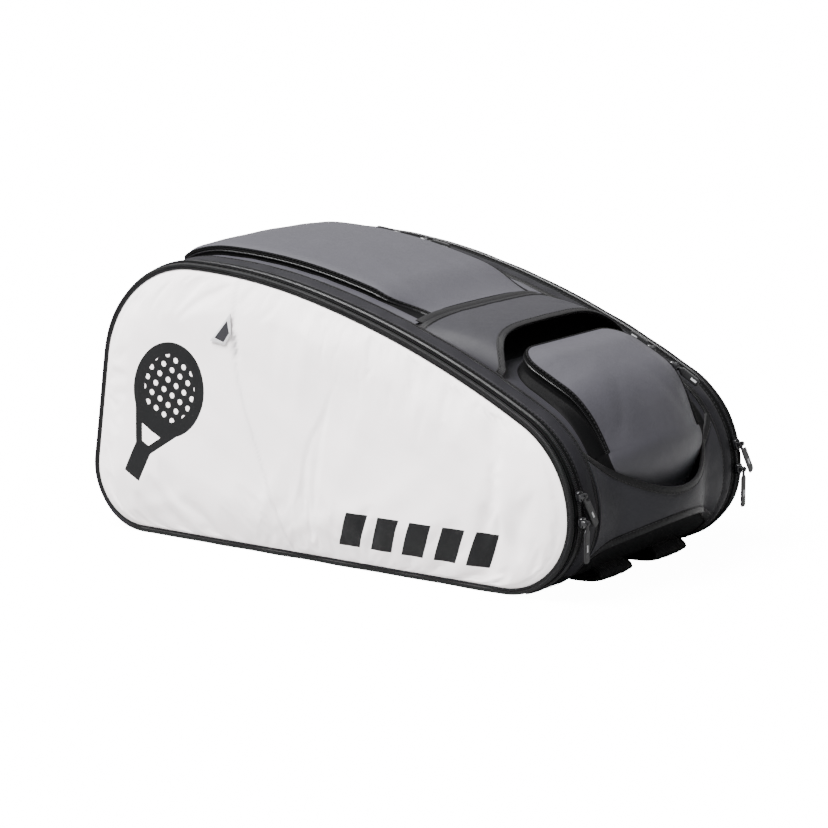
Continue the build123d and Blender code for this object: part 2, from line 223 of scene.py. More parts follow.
def loopFaces(stations, ring, wrap=False):
    # Faces of rings carried along a path, with strips across the two end rings.
    sidesOnly = gridFaces(stations, ring, wrap, True)
    if wrap:
        return sidesOnly
    j = np.arange(ring // 2 - 1)
    cap = np.stack([j, j + 1, ring - 2 - j, ring - 1 - j], 1)
    return np.concatenate([sidesOnly, cap, cap[:, ::-1] + (stations - 1) * ring])


smallUv = np.array([[0, 0], [1, 0], [1, 1], [0, 1]]) * mm  # face coordinates of small and hidden faces


def loopForm(loops, wrap=False, look=0):
    # Closed rings carried along a path; loops is [station, ring point, xyz].
    stations, ring = loops.shape[:2]
    faces = loopFaces(stations, ring, wrap)
    uv = gridUv(loops, wrap, True)
    extra = len(faces) - len(uv)
    capUv = np.zeros((extra, 4, 2)) + smallUv
    return loops.reshape(-1, 3), faces, np.concatenate([uv, capUv]), np.full(len(faces), look)


def copiesForm(path, normal, pitch, template, shift=0.0, look=0):
    # A small closed form repeated at equal steps along a path; its axes are along, across and out.
    run = np.concatenate([[0], np.cumsum(np.linalg.norm(np.diff(path, axis=0), axis=1))])
    at = np.arange(pitch * (0.5 + shift), run[-1] - pitch * 0.4, pitch)

    def sample(values, where):
        return np.stack([np.interp(where, run, values[:, k]) for k in range(3)], -1)

    ahead = sample(path, at + 0.4) - sample(path, at - 0.4)
    ahead /= np.linalg.norm(ahead, axis=1, keepdims=True)
    out = sample(normal, at)
    out -= ahead * (ahead * out).sum(1, keepdims=True)
    out /= np.linalg.norm(out, axis=1, keepdims=True)
    axes = np.stack([ahead, np.cross(out, ahead), out], 1)
    flat = template.reshape(-1, 3)
    points = sample(path, at)[:, None] + np.einsum("pk,nkx->npx", flat, axes)
    one = loopFaces(*template.shape[:2])
    faces = one[None] + (np.arange(len(at)) * len(flat))[:, None, None]
    uv = np.zeros((len(at) * len(one), 4, 2)) + smallUv
    return points.reshape(-1, 3), faces.reshape(-1, 4), uv, np.full(len(uv), look)


def makeMesh(name, *forms, sharp=50):
    # Joins forms into one mesh; each form's faces are turned outward by the sign of its volume.
    points, faces, uvs, looks, offset = [], [], [], [], 0
    for formPoints, formFaces, formUv, formLooks in forms:
        c = formPoints[formFaces] - formPoints.mean(0)
        volume = (c[:, 0] * (np.cross(c[:, 1], c[:, 2]) + np.cross(c[:, 2], c[:, 3]))).sum()
        if volume < 0:
            formFaces, formUv = formFaces[:, ::-1], formUv[:, ::-1]
        points.append(formPoints)
        faces.append(formFaces + offset)
        uvs.append(formUv)
        looks.append(formLooks)
        offset += len(formPoints)
    mesh = bpy.data.meshes.new(name)
    mesh.from_pydata((np.concatenate(points) * mm).tolist(), [], np.concatenate(faces).tolist())
    mesh.uv_layers.new(name="UVMap").data.foreach_set("uv", np.concatenate(uvs).ravel().astype(np.float32))
    mesh.polygons.foreach_set("material_index", np.concatenate(looks).astype(np.int32))
    mesh.shade_smooth()
    mesh.set_sharp_from_angle(angle=math.radians(sharp))
    mesh.update()
    return mesh


def addPiece(name, body, finishNames, *forms, sharp=50):
    # A piece rides on its body, and stands for the CAD node that its name spells.
    mesh = makeMesh(name, *forms, sharp=sharp)
    piece = bpy.data.objects.new(name, mesh)
    bpy.context.scene.collection.objects.link(piece)
    finishNames = finishNames.split()
    for finishName in finishNames:
        mesh.materials.append(looks[finishName])
    if body:
        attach(piece, body)
    node = re.sub("([A-Z])", r"_\1", name).lower()
    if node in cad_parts:
        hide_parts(node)
    return piece


def superRing(halfA, halfB, count=16, power=2.5):
    # Ring |a|^power + |b|^power = 1, starting at its lowest point.
    angle = np.linspace(-pi / 2, 1.5 * pi, count, endpoint=False) + pi / count
    c, s = np.cos(angle), np.sin(angle)
    return halfA * np.sign(c) * np.abs(c) ** (2 / power), halfB * np.sign(s) * np.abs(s) ** (2 / power)


def barTemplate(stations, halfA, halfB, along=0):
    # A bar of rectangular rings through stations (place, lift, scale), lying along axis 0 or across, axis 1.
    ringA, ringB = np.array([-1, 1, 1, -1]) * halfA, np.array([-1, -1, 1, 1]) * halfB
    place, lift, scale = (np.array(v, float)[:, None] for v in zip(*stations))
    first = place + 0 * ringA
    second, third = ringA * scale, lift + ringB * scale
    return np.stack([first, second, third] if along == 0 else [second, first, third], -1)


stitch = barTemplate([(-1.5, -0.1, 0.5), (-1.0, 0.2, 1), (1.0, 0.2, 1), (1.5, -0.1, 0.5)], 0.32, 0.26)
tooth = barTemplate([(-1.1, 0.1, 1), (-0.75, 1.05, 1), (0.1, 1.4, 1), (0.8, 1.0, 1), (1.0, 0.2, 0.8)], 0.5, 0.36, 1)


class Value:
    # A shader value that is added and multiplied as numbers are; each step is one Math node.
    def __init__(self, tree, socket):
        self.tree, self.socket = tree, socket

    def use(self, operation, *others):
        return calc(self.tree, operation, self, *others)

    def __add__(self, other):
        return self.use("ADD", other)

    def __sub__(self, other):
        return self.use("SUBTRACT", other)

    def __rsub__(self, other):
        return calc(self.tree, "SUBTRACT", other, self)

    def __mul__(self, other):
        return self.use("MULTIPLY", other)

    def __truediv__(self, other):
        return self.use("DIVIDE", other)

    def __lt__(self, other):
        return self.use("LESS_THAN", other)


def setInputs(tree, node, inputs):
    for key, value in inputs.items():
        if isinstance(value, (Value, bpy.types.NodeSocket)):
            tree.links.new(getattr(value, "socket", value), node.inputs[key])
        else:
            node.inputs[key].default_value = value


def addNode(tree, kind, inputs=None, **props):
    made = tree.nodes.new(kind)
    for key, value in props.items():
        setattr(made, key, value)
    setInputs(tree, made, inputs or {})
    return made


def calc(tree, operation, *values):
    return Value(tree, addNode(tree, "ShaderNodeMath", dict(enumerate(values)), operation=operation).outputs[0])


def mixColour(tree, factor, first, second):
    return addNode(tree, "ShaderNodeMix", {0: factor, 6: first, 7: second}, data_type="RGBA").outputs[2]


def axesOf(tree, place):
    return [Value(tree, axis) for axis in addNode(tree, "ShaderNodeSeparateXYZ", {0: place}).outputs]


def noise(tree, place, scale, detail, distortion=0.0):
    inputs = {"Vector": place, "Scale": scale, "Detail": detail, "Distortion": distortion}
    return Value(tree, addNode(tree, "ShaderNodeTexNoise", inputs).outputs["Fac"])


def bump(tree, height, distance, strength, **inputs):
    inputs = {"Height": height, "Distance": distance, "Strength": strength, **inputs}
    return addNode(tree, "ShaderNodeBump", inputs).outputs[0]


def newGroup(name, outputs, **numbers):
    # An empty node group that takes a vector and named numbers; gives its inputs, and a way to set its outputs.
    group = bpy.data.node_groups.new(name, "ShaderNodeTree")
    group.interface.new_socket("Vector", in_out="INPUT", socket_type="NodeSocketVector")
    for label, value in numbers.items():
        group.interface.new_socket(label, in_out="INPUT", socket_type="NodeSocketFloat").default_value = value
    for label in outputs:
        group.interface.new_socket(label, in_out="OUTPUT", socket_type="NodeSocketFloat")
    return group, group.nodes.new("NodeGroupInput").outputs, group.nodes.new("NodeGroupOutput")


def fillGroup(tree, group, inputs):
    outputs = addNode(tree, "ShaderNodeGroup", inputs, node_tree=group).outputs
    return {output.name: Value(tree, output) for output in outputs}


def makeWeave():
    # Plain weave: height = half + half * sin(turns * u) * sin(turns * v), with uneven threads.
    group, given, result = newGroup("weave", ["Height", "Tone"], Pitch=0.0006)
    turns = calc(group, "DIVIDE", pi, given["Pitch"])
    uneven = noise(group, given["Vector"], 420.0, 2.0)
    u, v, _ = axesOf(group, given["Vector"])
    height = (u * turns).use("SINE") * (v * turns).use("SINE") * 0.5 + 0.5
    setInputs(group, result, {"Height": uneven * 0.5 + height, "Tone": height * 0.5 + uneven * 0.5})
    return group


def makeRibs():
    # Ribs across a tape: height = half + half * sin(turns * u), crossed by fine threads.
    group, given, result = newGroup("ribs", ["Height", "Tone"], Pitch=0.0014)
    turns = calc(group, "DIVIDE", 2 * pi, given["Pitch"])
    u, v, _ = axesOf(group, given["Vector"])
    height = (u * turns).use("SINE") * 0.5 + 0.5
    thread = (v * (turns * 1.7)).use("SINE")
    setInputs(group, result, {"Height": thread * 0.15 + height, "Tone": height})
    return group


def makeSpacer():
    # Spacer mesh: round holes on a close grid of cells.
    group, given, result = newGroup("spacer", ["Height", "Tone"], Pitch=0.003)
    inputs = {"Vector": given["Vector"], "Scale": calc(group, "DIVIDE", 1.0, given["Pitch"]), "Randomness": 0.25}
    cells = addNode(group, "ShaderNodeTexVoronoi", inputs).outputs["Distance"]
    inputs = {"Value": cells, "From Min": 0.18, "From Max": 0.42}
    height = addNode(group, "ShaderNodeMapRange", inputs).outputs[0]
    setInputs(group, result, {"Height": height, "Tone": height})
    return group


def makePatina():
    # Slow uneven tone of a handled surface: broad noise, and a finer one for the rumple.
    group, given, result = newGroup("patina", ["Tone", "Rumple"], Size=0.12)
    scale = calc(group, "DIVIDE", 1.0, given["Size"])
    tone = noise(group, given["Vector"], scale, 3.0, 0.6)
    setInputs(group, result, {"Tone": tone, "Rumple": noise(group, given["Vector"], scale * 4.0, 2.0, 0.3)})
    return group


patterns = {"weave": makeWeave(), "ribs": makeRibs(), "spacer": makeSpacer()}
patina = makePatina()

finishes = {
    # dark and light colour; roughness, sheen, gloss, pattern, its pitch and relief, and the rumple's relief
    "greyFabric": ((0.0245, 0.0238, 0.029), (0.0352, 0.0342, 0.0404),
        0.52, 0.08, 0.22, "weave", 0.0007, 0.00012, 0.0012),
    # painted shade: a darker copy of greyFabric for the front panel and both handles, standing in for their shade
    "midGrey": ((0.0115, 0.0112, 0.0136), (0.0165, 0.0161, 0.019),
        0.56, 0.08, 0.12, "weave", 0.0007, 0.00012, 0.0012),
    # painted shade: a still darker copy of the grey fabric for the gussets, standing in for their shade
    "gussetGrey": ((0.006, 0.0058, 0.0072), (0.0095, 0.0092, 0.011),
        0.58, 0.06, 0.08, "weave", 0.0007, 0.00012, 0.0012),
    "deepGrey": ((0.0125, 0.0123, 0.0145), (0.0213, 0.0208, 0.0238),
        0.55, 0.12, 0.15, "weave", 0.0007, 0.00012, 0.001),
    "blackFabric": ((0.0009, 0.0009, 0.0011), (0.0022, 0.0021, 0.0025),
        0.66, 0.08, 0.05, "weave", 0.0009, 0.00018, 0.0008),
    "edgeTape": ((0.001, 0.001, 0.0012), (0.003, 0.0029, 0.0034),
        0.5, 0.12, 0.12, "ribs", 0.0016, 0.00025, 0.0004),
    "zipTape": ((0.0006, 0.0006, 0.0007), (0.0016, 0.0016, 0.0018),
        0.62, 0.06, 0.05, "ribs", 0.0009, 0.00012, 0.0003),
    "webbing": ((0.002, 0.002, 0.0023), (0.0068, 0.0066, 0.0073),
        0.55, 0.2, 0.14, "ribs", 0.0024, 0.0004, 0.0003),
    "lining": ((0.0021, 0.0021, 0.0024), (0.0042, 0.0042, 0.0049),
        0.7, 0.1, 0.08, "weave", 0.0008, 0.00012, 0.001),
    "paddedMesh": ((0.0016, 0.0016, 0.0019), (0.0088, 0.0086, 0.0096),
        0.75, 0.2, 0.1, "spacer", 0.0032, 0.0007, 0.001),
    "thread": ((0.005, 0.005, 0.0056), (0.013, 0.0127, 0.014),
        0.55, 0.2, 0.12, "weave", 0.0004, 0.00008, 0.0002),
}


def newLook(name):
    material = bpy.data.materials.new(name)
    material.use_nodes = True
    tree = material.node_tree
    return material, tree, tree.nodes["Principled BSDF"], addNode(tree, "ShaderNodeTexCoord").outputs


def clothLook(name, dark, light, rough, sheen, gloss, pattern, pitch, relief, rumple):
    # Tone from the pattern and the patina; relief from the pattern over a soft rumple.
    material, tree, shader, place = newLook(name)
    worn = fillGroup(tree, patina, {"Vector": place["Object"], "Size": 0.12})
    cloth = fillGroup(tree, patterns[pattern], {"Vector": place["UV"], "Pitch": pitch})
    tone = worn["Tone"] * 0.6 + cloth["Tone"] * 0.4
    soft = bump(tree, worn["Rumple"], rumple, 0.7)
    setInputs(tree, shader, {
        "Base Color": mixColour(tree, tone, (*dark, 1), (*light, 1)),
        "Roughness": worn["Rumple"] * 0.16 + (rough - 0.08),
        "Specular IOR Level": gloss, "Sheen Weight": sheen * 0.15, "Sheen Roughness": 0.4,
        "Normal": bump(tree, cloth["Height"], relief, 0.8, Normal=soft),
    })
    return material


def hardLook(name, dark, light, rough, metallic=0.0, coat=0.0, mark=None):
    # Moulded or cast finish: fine grain, uneven gloss and, where asked, one pale bar.
    material, tree, shader, place = newLook(name)
    worn = fillGroup(tree, patina, {"Vector": place["Object"], "Size": 0.02})
    colour = mixColour(tree, worn["Tone"], (*dark, 1), (*light, 1))
    if mark:
        u, v, _ = axesOf(tree, place["UV"])
        inside = u.use("COMPARE", *mark["along"]) * v.use("COMPARE", *mark["across"])
        colour = mixColour(tree, inside, colour, (*mark["colour"], 1))
    grain = noise(tree, place["Object"], 900.0, 3.0)
    setInputs(tree, shader, {
        "Base Color": colour, "Roughness": worn["Rumple"] * 0.2 + (rough - 0.1), "Metallic": metallic,
        "Specular IOR Level": 0.25, "Coat Weight": coat, "Normal": bump(tree, grain, 0.00012, 0.5),
    })
    return material


sidePrint = {
    # metres on the panel: place of the racket and its turn; first bar, and the bars' sizes
    "racket": (-0.2050, 0.1300, math.radians(-28)), "bars": (0.0200, 0.0410), "barPitch": 0.0370,
    "barWide": 0.0245, "barHalf": 0.0175, "barSlant": 0.42, "barCount": 5,
    "ink": (0.0016, 0.0016, 0.0020), "seam": (0.30, 0.29, 0.30),
}
racket = {
    # ovals as middle, half width and half height; throat and gap as half widths at the racket's origin
    "head": (0.026, 0.044, 0.050), "field": (0.028, 0.031, 0.036), "cell": 0.0115, "shift": (0.506, 0.5),
    "hole": 0.062, "taper": 0.5625, "throat": 0.0358, "throatPlace": (-0.0250, 0.0200), "gap": 0.0265,
    "gapTop": -0.0235, "grip": 0.0105, "gripPlace": (-0.0590, 0.0200),
}


def makeRacketMask():
    # Print mask of a racket: oval head less a grid of holes, plus open throat and handle.
    group, given, result = newGroup("racketPrint", ["Mask"])
    x, y, _ = axesOf(group, given["Vector"])
    wide = x.use("ABSOLUTE")

    def oval(middle, halfWide, halfTall):
        across, up = wide / halfWide, (y - middle) / halfTall
        return across * across + up * up < 1.0

    cellX, cellY = (((at + by) / racket["cell"]).use("FRACT") - 0.5 for at, by in zip((x, y), racket["shift"]))
    holes = oval(*racket["field"]) * (cellX * cellX + cellY * cellY < racket["hole"])
    throat = (wide < y * racket["taper"] + racket["throat"]) * y.use("COMPARE", *racket["throatPlace"])
    gap = (wide < y * racket["taper"] + racket["gap"]) * (y < racket["gapTop"])
    grip = (wide < racket["grip"]) * y.use("COMPARE", *racket["gripPlace"])
    solid = (oval(*racket["head"]) * (1.0 - holes)).use("MAXIMUM", throat * (1.0 - gap))
    setInputs(group, result, {"Mask": solid.use("MAXIMUM", grip)})
    return group


def whiteLook():
    # Coated white cloth with printed racket and bars; seam and slit tones come from the mesh attribute.
    material = clothLook("white coated fabric", (0.780, 0.735, 0.735), (0.900, 0.846, 0.850),
                         0.55, 0.05, 0.15, "weave", 0.0007, 0.0001, 0.0007)
    tree = material.node_tree
    shader = tree.nodes["Principled BSDF"]
    cloth = shader.inputs["Base Color"].links[0].from_socket
    x, _, z = axesOf(tree, addNode(tree, "ShaderNodeTexCoord").outputs["Object"])
    plan = addNode(tree, "ShaderNodeCombineXYZ", {0: x, 1: z}).outputs[0]
    atX, atZ, turn = sidePrint["racket"]
    inputs = {"Vector": plan, "Location": (atX, atZ, 0), "Rotation": (0, 0, turn)}
    local = addNode(tree, "ShaderNodeMapping", inputs, vector_type="TEXTURE").outputs[0]
    printed = fillGroup(tree, makeRacketMask(), {"Vector": local})["Mask"]
    barX, barZ = sidePrint["bars"]
    pitch, half = sidePrint["barPitch"], sidePrint["barCount"] / 2
    step = ((x - barX) - (z - barZ) * sidePrint["barSlant"]) / pitch
    bars = (step.use("FRACT") < sidePrint["barWide"] / pitch) * z.use("COMPARE", barZ, sidePrint["barHalf"])
    bars = bars * step.use("COMPARE", half, half)
    seam = addNode(tree, "ShaderNodeAttribute", attribute_name="seamShade").outputs["Fac"]
    base = mixColour(tree, seam, cloth, (*sidePrint["seam"], 1))
    colour = mixColour(tree, printed.use("MAXIMUM", bars), base, (*sidePrint["ink"], 1))
    setInputs(tree, shader, {"Base Color": colour})
    return material


pullMark = {"along": (0.024, 0.0034), "across": (0.0042, 0.0011), "colour": (0.30, 0.30, 0.31)}
looks = {name: clothLook(name, *finish) for name, finish in finishes.items()}
looks["paleThread"] = clothLook("paleThread", (0.42, 0.41, 0.42), (0.60, 0.59, 0.60), *finishes["thread"][2:])
looks["whiteFabric"] = whiteLook()
looks["zipCoil"] = hardLook("zip coil nylon", (0.0022, 0.0022, 0.0026), (0.0085, 0.0083, 0.0094), 0.40)
looks["sliderMetal"] = hardLook("painted slider metal", (0.0040, 0.0040, 0.0048), (0.0120, 0.0120, 0.0136),
                                0.30, 0.35, 0.3)
looks["pullRubber"] = hardLook("moulded pull rubber", (0.0040, 0.0040, 0.0044), (0.0096, 0.0096, 0.0104),
                               0.55, mark=pullMark)
looks["buckle"] = hardLook("moulded buckle plastic", (0.0048, 0.0048, 0.0052), (0.0096, 0.0096, 0.0104), 0.42)
looks["board"] = hardLook("stiffener board", (0.0120, 0.0120, 0.0128), (0.0240, 0.0236, 0.0248), 0.60)
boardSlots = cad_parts["back_stiffener"].data.materials
boardSlots.clear()
boardSlots.append(looks["board"])
print("materials made:", len(looks))

clothFacts = {
    "vertex_group_mass": "pinned", "quality": 5, "mass": 0.25, "tension_stiffness": 12, "shear_stiffness": 6,
    "compression_stiffness": 12, "bending_stiffness": 0.6, "use_pressure": True, "shrink_min": -0.01,
}


def swell(points, faces, pinned, pressure, cap, frames=16):
    # Cloth simulation: a pressed sheet swells, and no point moves further than the cap.
    mesh = bpy.data.meshes.new("swelling")
    mesh.from_pydata((points.reshape(-1, 3) * mm).tolist(), [], faces.tolist())
    piece = bpy.data.objects.new("swelling", mesh)
    scene = bpy.context.scene
    scene.collection.objects.link(piece)
    piece.vertex_groups.new(name="pinned").add(np.flatnonzero(pinned).tolist(), 1.0, "REPLACE")
    cloth = piece.modifiers.new("cloth", "CLOTH")
    for key, value in clothFacts.items():
        setattr(cloth.settings, key, value)
    cloth.settings.uniform_pressure_force = pressure
    cloth.settings.effector_weights.gravity = 0
    cloth.point_cache.frame_start, cloth.point_cache.frame_end = 1, frames
    for number in range(1, frames + 1):
        scene.frame_set(number)
    solved = piece.evaluated_get(bpy.context.evaluated_depsgraph_get()).to_mesh()
    moved = np.empty(points.size, np.float32)
    solved.vertices.foreach_get("co", moved)
    bpy.data.objects.remove(piece)
    bpy.data.meshes.remove(mesh)
    scene.frame_set(1)
    shift = moved.reshape(points.shape) / mm - points
    far = np.linalg.norm(shift, axis=-1, keepdims=True)
    return points + shift * np.minimum(1, cap / np.maximum(far, 1e-6))


lengths = np.linspace(0, girth, 640, endpoint=False)
headings = np.degrees(runAt(lengths)[2])
offFloor = smooth((headings - 8) / 30) * smooth((352 - headings) / 30)  # 0 along the flat bottom, 1 elsewhere
print(f"outline walked: {girth:.0f} mm")

gusset = {"crown": 2.2, "fold": 0.9, "thick": 2.0}
panel = {
    "rows": 200, "cols": 96, "middle": (-20.0, 112.0), "inset": 5.0, "shoulder": 58.0, "thick": 3.0,
    "pressure": 2.2, "cap": 4.5, "seamTop": -112.0, "seamLean": 0.37, "seamBend": 20.0, "seamTurnZ": 185.0,
    "slit": (217.0, 195.0),
    # folds: place, direction in degrees, half length, half width and height
    "folds": [(-60, 215, 85, 42, 9, -0.9), (-25, 205, 80, 46, 10, 0.8), (-150, 225, 95, 30, 8, 0.6),
              (30, 120, 70, 60, 16, 0.9), (-70, 60, 60, 38, 9, 0.9), (-52, 30, 35, 20, 5, -0.8),
              (95, 90, 40, 55, 14, 0.8), (-10, 45, 20, 70, 9, 0.7), (150, 60, 60, 40, 12, -0.8),
              (-220, 30, 20, 40, 9, 0.8), (60, 175, 110, 40, 12, -0.7), (205, 70, 85, 26, 8, 0.9)],
}


def sortedRim(inset):
    # Reach of the outline from the panel's middle at each angle, for reading by angle.
    rim = onBag(np.linspace(0, girth, 2400, endpoint=False), 0, -inset)
    dx, dz = rim[:, 0] - panel["middle"][0], rim[:, 2] - panel["middle"][1]
    angle = np.arctan2(dz, dx)
    order = np.argsort(angle)
    return angle[order], np.hypot(dx, dz)[order], rim


def panelPlan(rows, cols, inset):
    # A square grid bent to a disk, a = u*sqrt(1 - v*v/2), b = v*sqrt(1 - u*u/2), then stretched to the outline.
    u, v = np.meshgrid(np.linspace(-1, 1, rows), np.linspace(-1, 1, cols), indexing="ij")
    a, b = u * np.sqrt(1 - v * v / 2), v * np.sqrt(1 - u * u / 2)
    angle, reach, rim = sortedRim(inset)
    turn = np.arctan2(b * 0.55, a)  # rows follow the long way of the bag
    far = np.interp(turn, angle, reach, period=2 * pi)
    rho = np.hypot(a, b)
    x, z = panel["middle"][0] + rho * far * np.cos(turn), panel["middle"][1] + rho * far * np.sin(turn)
    flat = np.stack([x.ravel(), z.ravel()], 1)
    edge = np.empty(len(flat))
    for start in range(0, len(flat), 4000):  # blocks keep the distance table small
        gap = flat[start:start + 4000, None] - rim[None, ::3, ::2]
        edge[start:start + 4000] = np.sqrt((gap ** 2).sum(2).min(1))
    return x, z, edge.reshape(x.shape), rho


def seamGap(x, z):
    # Distance from the panel's sewn line: straight down at the top, leaning away below the turn.
    bend = panel["seamBend"]
    line = panel["seamTop"] + panel["seamLean"] * bend * np.logaddexp(0, (panel["seamTurnZ"] - z) / bend)
    return (x - line) * 0.95


def makePanels():
    # Domed skin: a sine step from rim to dome, swollen, then folded, with a sewn line and a gaping slit.
    x, z, edge, rho = panelPlan(panel["rows"], panel["cols"], panel["inset"])
    rise = bag["dome"] - bag["rim"] - 0.5
    y = bag["rim"] - 1.6 + rise * np.sin(pi / 2 * np.clip(edge / panel["shoulder"], 0, 1)) + 1.6 * smooth(edge / 7)
    puffed = swell(xyz(x, y, z), gridFaces(*x.shape)[:, ::-1], rho > 0.965, panel["pressure"], panel["cap"])
    gap = seamGap(x, z)
    top, low = panel["slit"]
    slit = smooth((top + 4 - z) / 8) * smooth((z - low + 4) / 8)
    sewn = 0.7 * bell(gap, 2.2) + 1.5 * slit * bell(gap - 1.0, 4.0) - 0.5 * bell(gap + 6, 5.0)
    line = np.clip(0.30 * bell(gap, 1.6) + slit * bell(gap - 1.2, 2.2), 0, 1) * smooth(edge / 4)
    for name, side in sides.items():
        folds = 1.5 * crease(x, z, panel["folds"]) + 0.8 * ripple(x, z, 120, 3 + side, 1.6)
        folds = folds + 0.3 * ripple(x, z, 45, 9 + side)
        shape = puffed.copy()
        shape[..., 1] += smooth((edge - 4) / 30) * folds - smooth(edge / 10) * sewn
        inner = shape - [0, panel["thick"], 0]
        scale = np.array([1, side, 1])
        form = shellForm(shape * scale, inner * scale, innerLook=1, rimLook=0)
        piece = addPiece(f"{name}SidePanel", f"{name}_door", "whiteFabric lining", form, sharp=80)
        shade = piece.data.attributes.new("seamShade", "FLOAT", "POINT")
        shade.data.foreach_set("value", np.concatenate([line.ravel(), 0 * line.ravel()]).astype(np.float32))
        makeLabel(name, side, shape)


label = {
    "corners": [(-113.0, 238.0), (-137.5, 209.0), (-119.0, 206.5), (-112.0, 218.0)], "thick": 1.1, "cells": 14,
}


def makeLabel(name, side, shape):
    # Four-cornered patch, each point a mix of the corners, on the panel and lifted at its free edge.
    u, v = np.meshgrid(*[np.linspace(0, 1, label["cells"])] * 2, indexing="ij")
    a, b, c, d = (np.array(p)[None, None] for p in label["corners"])
    w, t = u[..., None], v[..., None]
    flat = a * (1 - w) * (1 - t) + b * w * (1 - t) + c * w * t + d * (1 - w) * t
    middleX, middleZ = flat.mean((0, 1))
    near = ((shape[..., 0] - middleX) ** 2 + (shape[..., 2] - middleZ) ** 2).argmin()
    height = shape[..., 1].ravel()[near] + 0.6
    outward = np.maximum(np.abs(2 * u - 1), np.abs(2 * v - 1))
    lift = height + label["thick"] * (0.3 + 0.7 * (1 - outward ** 6)) + 1.4 * u * (1 - 0.4 * v)
    scale = np.array([1, side, 1])
    top = xyz(flat[..., 0], lift, flat[..., 1]) * scale
    border = outward > 0.80
    look = np.where(border[:-1, :-1] | border[1:, 1:], 1, 0)
    form = shellForm(top, top - [0, side * label["thick"], 0], look=look, innerLook=0, rimLook=1)
    addPiece(f"{name}LoopLabel", f"{name}_door", "deepGrey paleThread", form)


def bandForm(y, high, low, wrap=True, s=None, **choice):
    # A strip along the bag: y and the two heights may change along and across it.
    s = (lengths if s is None else s)[:, None]
    return shellForm(onBag(s, y, high), onBag(s, y, low), wrap=wrap, **choice)


def bagPath(s, y, out):
    # Path along the bag with its outward directions, for stitches and coils.
    return onBag(s, y, out), outwardAt(s)


def makeCompartment(name, side):
    s = lengths[:, None]
    lift = offFloor[:, None]
    across = np.linspace(0, 1, 13)[None]
    fold = ripple(s, across * 20, 46, 21 + side, 0.8) * np.sin(pi * across)
    high = 0.3 + lift * (gusset["crown"] * np.sin(pi * across) ** 0.8 + gusset["fold"] * fold)
    y = bag["seam"] + (bag["tape"] + 0.8 - bag["seam"]) * across
    underneath = np.broadcast_to((headings[:, None] < 44) | (headings[:, None] > 330), (len(lengths), 12))
    look = np.where(underneath, 1, 0)
    wall = bandForm(side * y, high, high * 0 - gusset["thick"], look=look, innerLook=2)
    backing = bandForm(side * np.linspace(bag["tape"], bag["tapeEnd"], 3)[None], -0.9, -3.0, look=2)
    # the gusset's grey is painted shade, a darker copy of the grey fabric
    addPiece(f"{name}Gusset", "root", "gussetGrey blackFabric lining", wall, backing, sharp=80)

    across = np.linspace(0, 1, 9)[None]
    y = bag["seam"] - 1.5 + 6.5 * across
    high = 0.3 + 1.9 * np.sin(pi * across) ** 0.6 + 0.12 * ripple(s, across * 4, 14, 5)
    binding = bandForm(side * y, high * (0.15 + 0.85 * lift), -0.4 + 0 * high)
    addPiece(f"{name}SeamBinding", "root", "edgeTape", binding)

    dense = np.linspace(lengthAt(bag["zipFrom"]), lengthAt(bag["zipTo"]), 5000)
    rows = [(bag["seam"] + 3.4, 1.9), (bag["tape"] - 1.2, 0.75), (bag["tape"] + 2.6, 0.45)]
    forms = [copiesForm(*bagPath(dense, side * y, out), zipEnd["stitchPitch"], stitch) for y, out in rows]
    addPiece(f"{name}FixedStitch", "root", "thread", *forms)

    across = np.linspace(0, 1, 10)[None]
    y = bag["tape"] + 0.4 + (bag["tapeEnd"] + 0.5 - bag["tape"] - 0.4) * across
    high = 0.15 + 0.5 * bell(across - 0.08, 0.1) + 0.1 * ripple(s, across * 9, 18, 31)
    addPiece(f"{name}ZipTape", "root", "zipTape", bandForm(side * y, high * lift + 0.1, -0.8 + 0 * high))
    coil = copiesForm(*bagPath(dense, side * (bag["coil"] - 0.75), 0.15), zipEnd["pitch"], tooth)
    addPiece(f"{name}ZipCoil", "root", "zipCoil", coil)

    # cloth hinge along the back
    under = np.linspace(lengthAt(bag["zipTo"]) - girth, lengthAt(bag["zipFrom"]), 160)
    y = np.linspace(bag["tapeEnd"] - 0.6, bag["parting"] + 1.2, 12)[None]
    strip = bandForm(side * y, -0.15 + 0 * y, -0.9 + 0 * y, wrap=False, s=under)
    strip = addPiece(f"{name}DoorHinge", None, "zipTape", strip)
    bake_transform(strip)

    # the door's own half: coil, tape and piping
    door = f"{name}_door"
    coil = copiesForm(*bagPath(dense, side * (bag["coil"] + 0.95), 0.15), zipEnd["pitch"], tooth * [1, -1, 1], 0.5)
    addPiece(f"{name}DoorCoil", door, "zipCoil", coil)
    y = bag["parting"] - 0.6 + (bag["piping"] + 0.6 - bag["parting"]) * across
    high = 0.1 + 0.45 * bell(across - 0.85, 0.12) + 0.1 * ripple(s, across * 9, 18, 32)
    tape = bandForm(side * y, high * lift + 0.1, -0.8 + 0 * high, innerLook=0)
    addPiece(f"{name}DoorTape", door, "zipTape", tape)

    ringA, ringB = superRing(1, 1, 14, 2.0)
    wave = ripple(s, 0 * s, 70, 41 + side)
    size = 2.55 + 0.12 * wave + 0.35 * (1 - lift)
    y = bag["piping"] + 2.5 + 0.25 * wave + 0.7 * (1 - lift) * ripple(s, 0 * s, 110, 43)
    loops = onBag(s, side * (y + size * ringA[None]), -2.45 + 0.1 * wave + size * ringB[None])
    across = np.linspace(0, 1, 5)[None]
    lip = bandForm(side * (bag["piping"] - 0.4 + 5.2 * across), -4.2 + 0 * across * s, -6.4 + 0 * across * s)
    addPiece(f"{name}Piping", door, "edgeTape", loopForm(loops, wrap=True), lip)


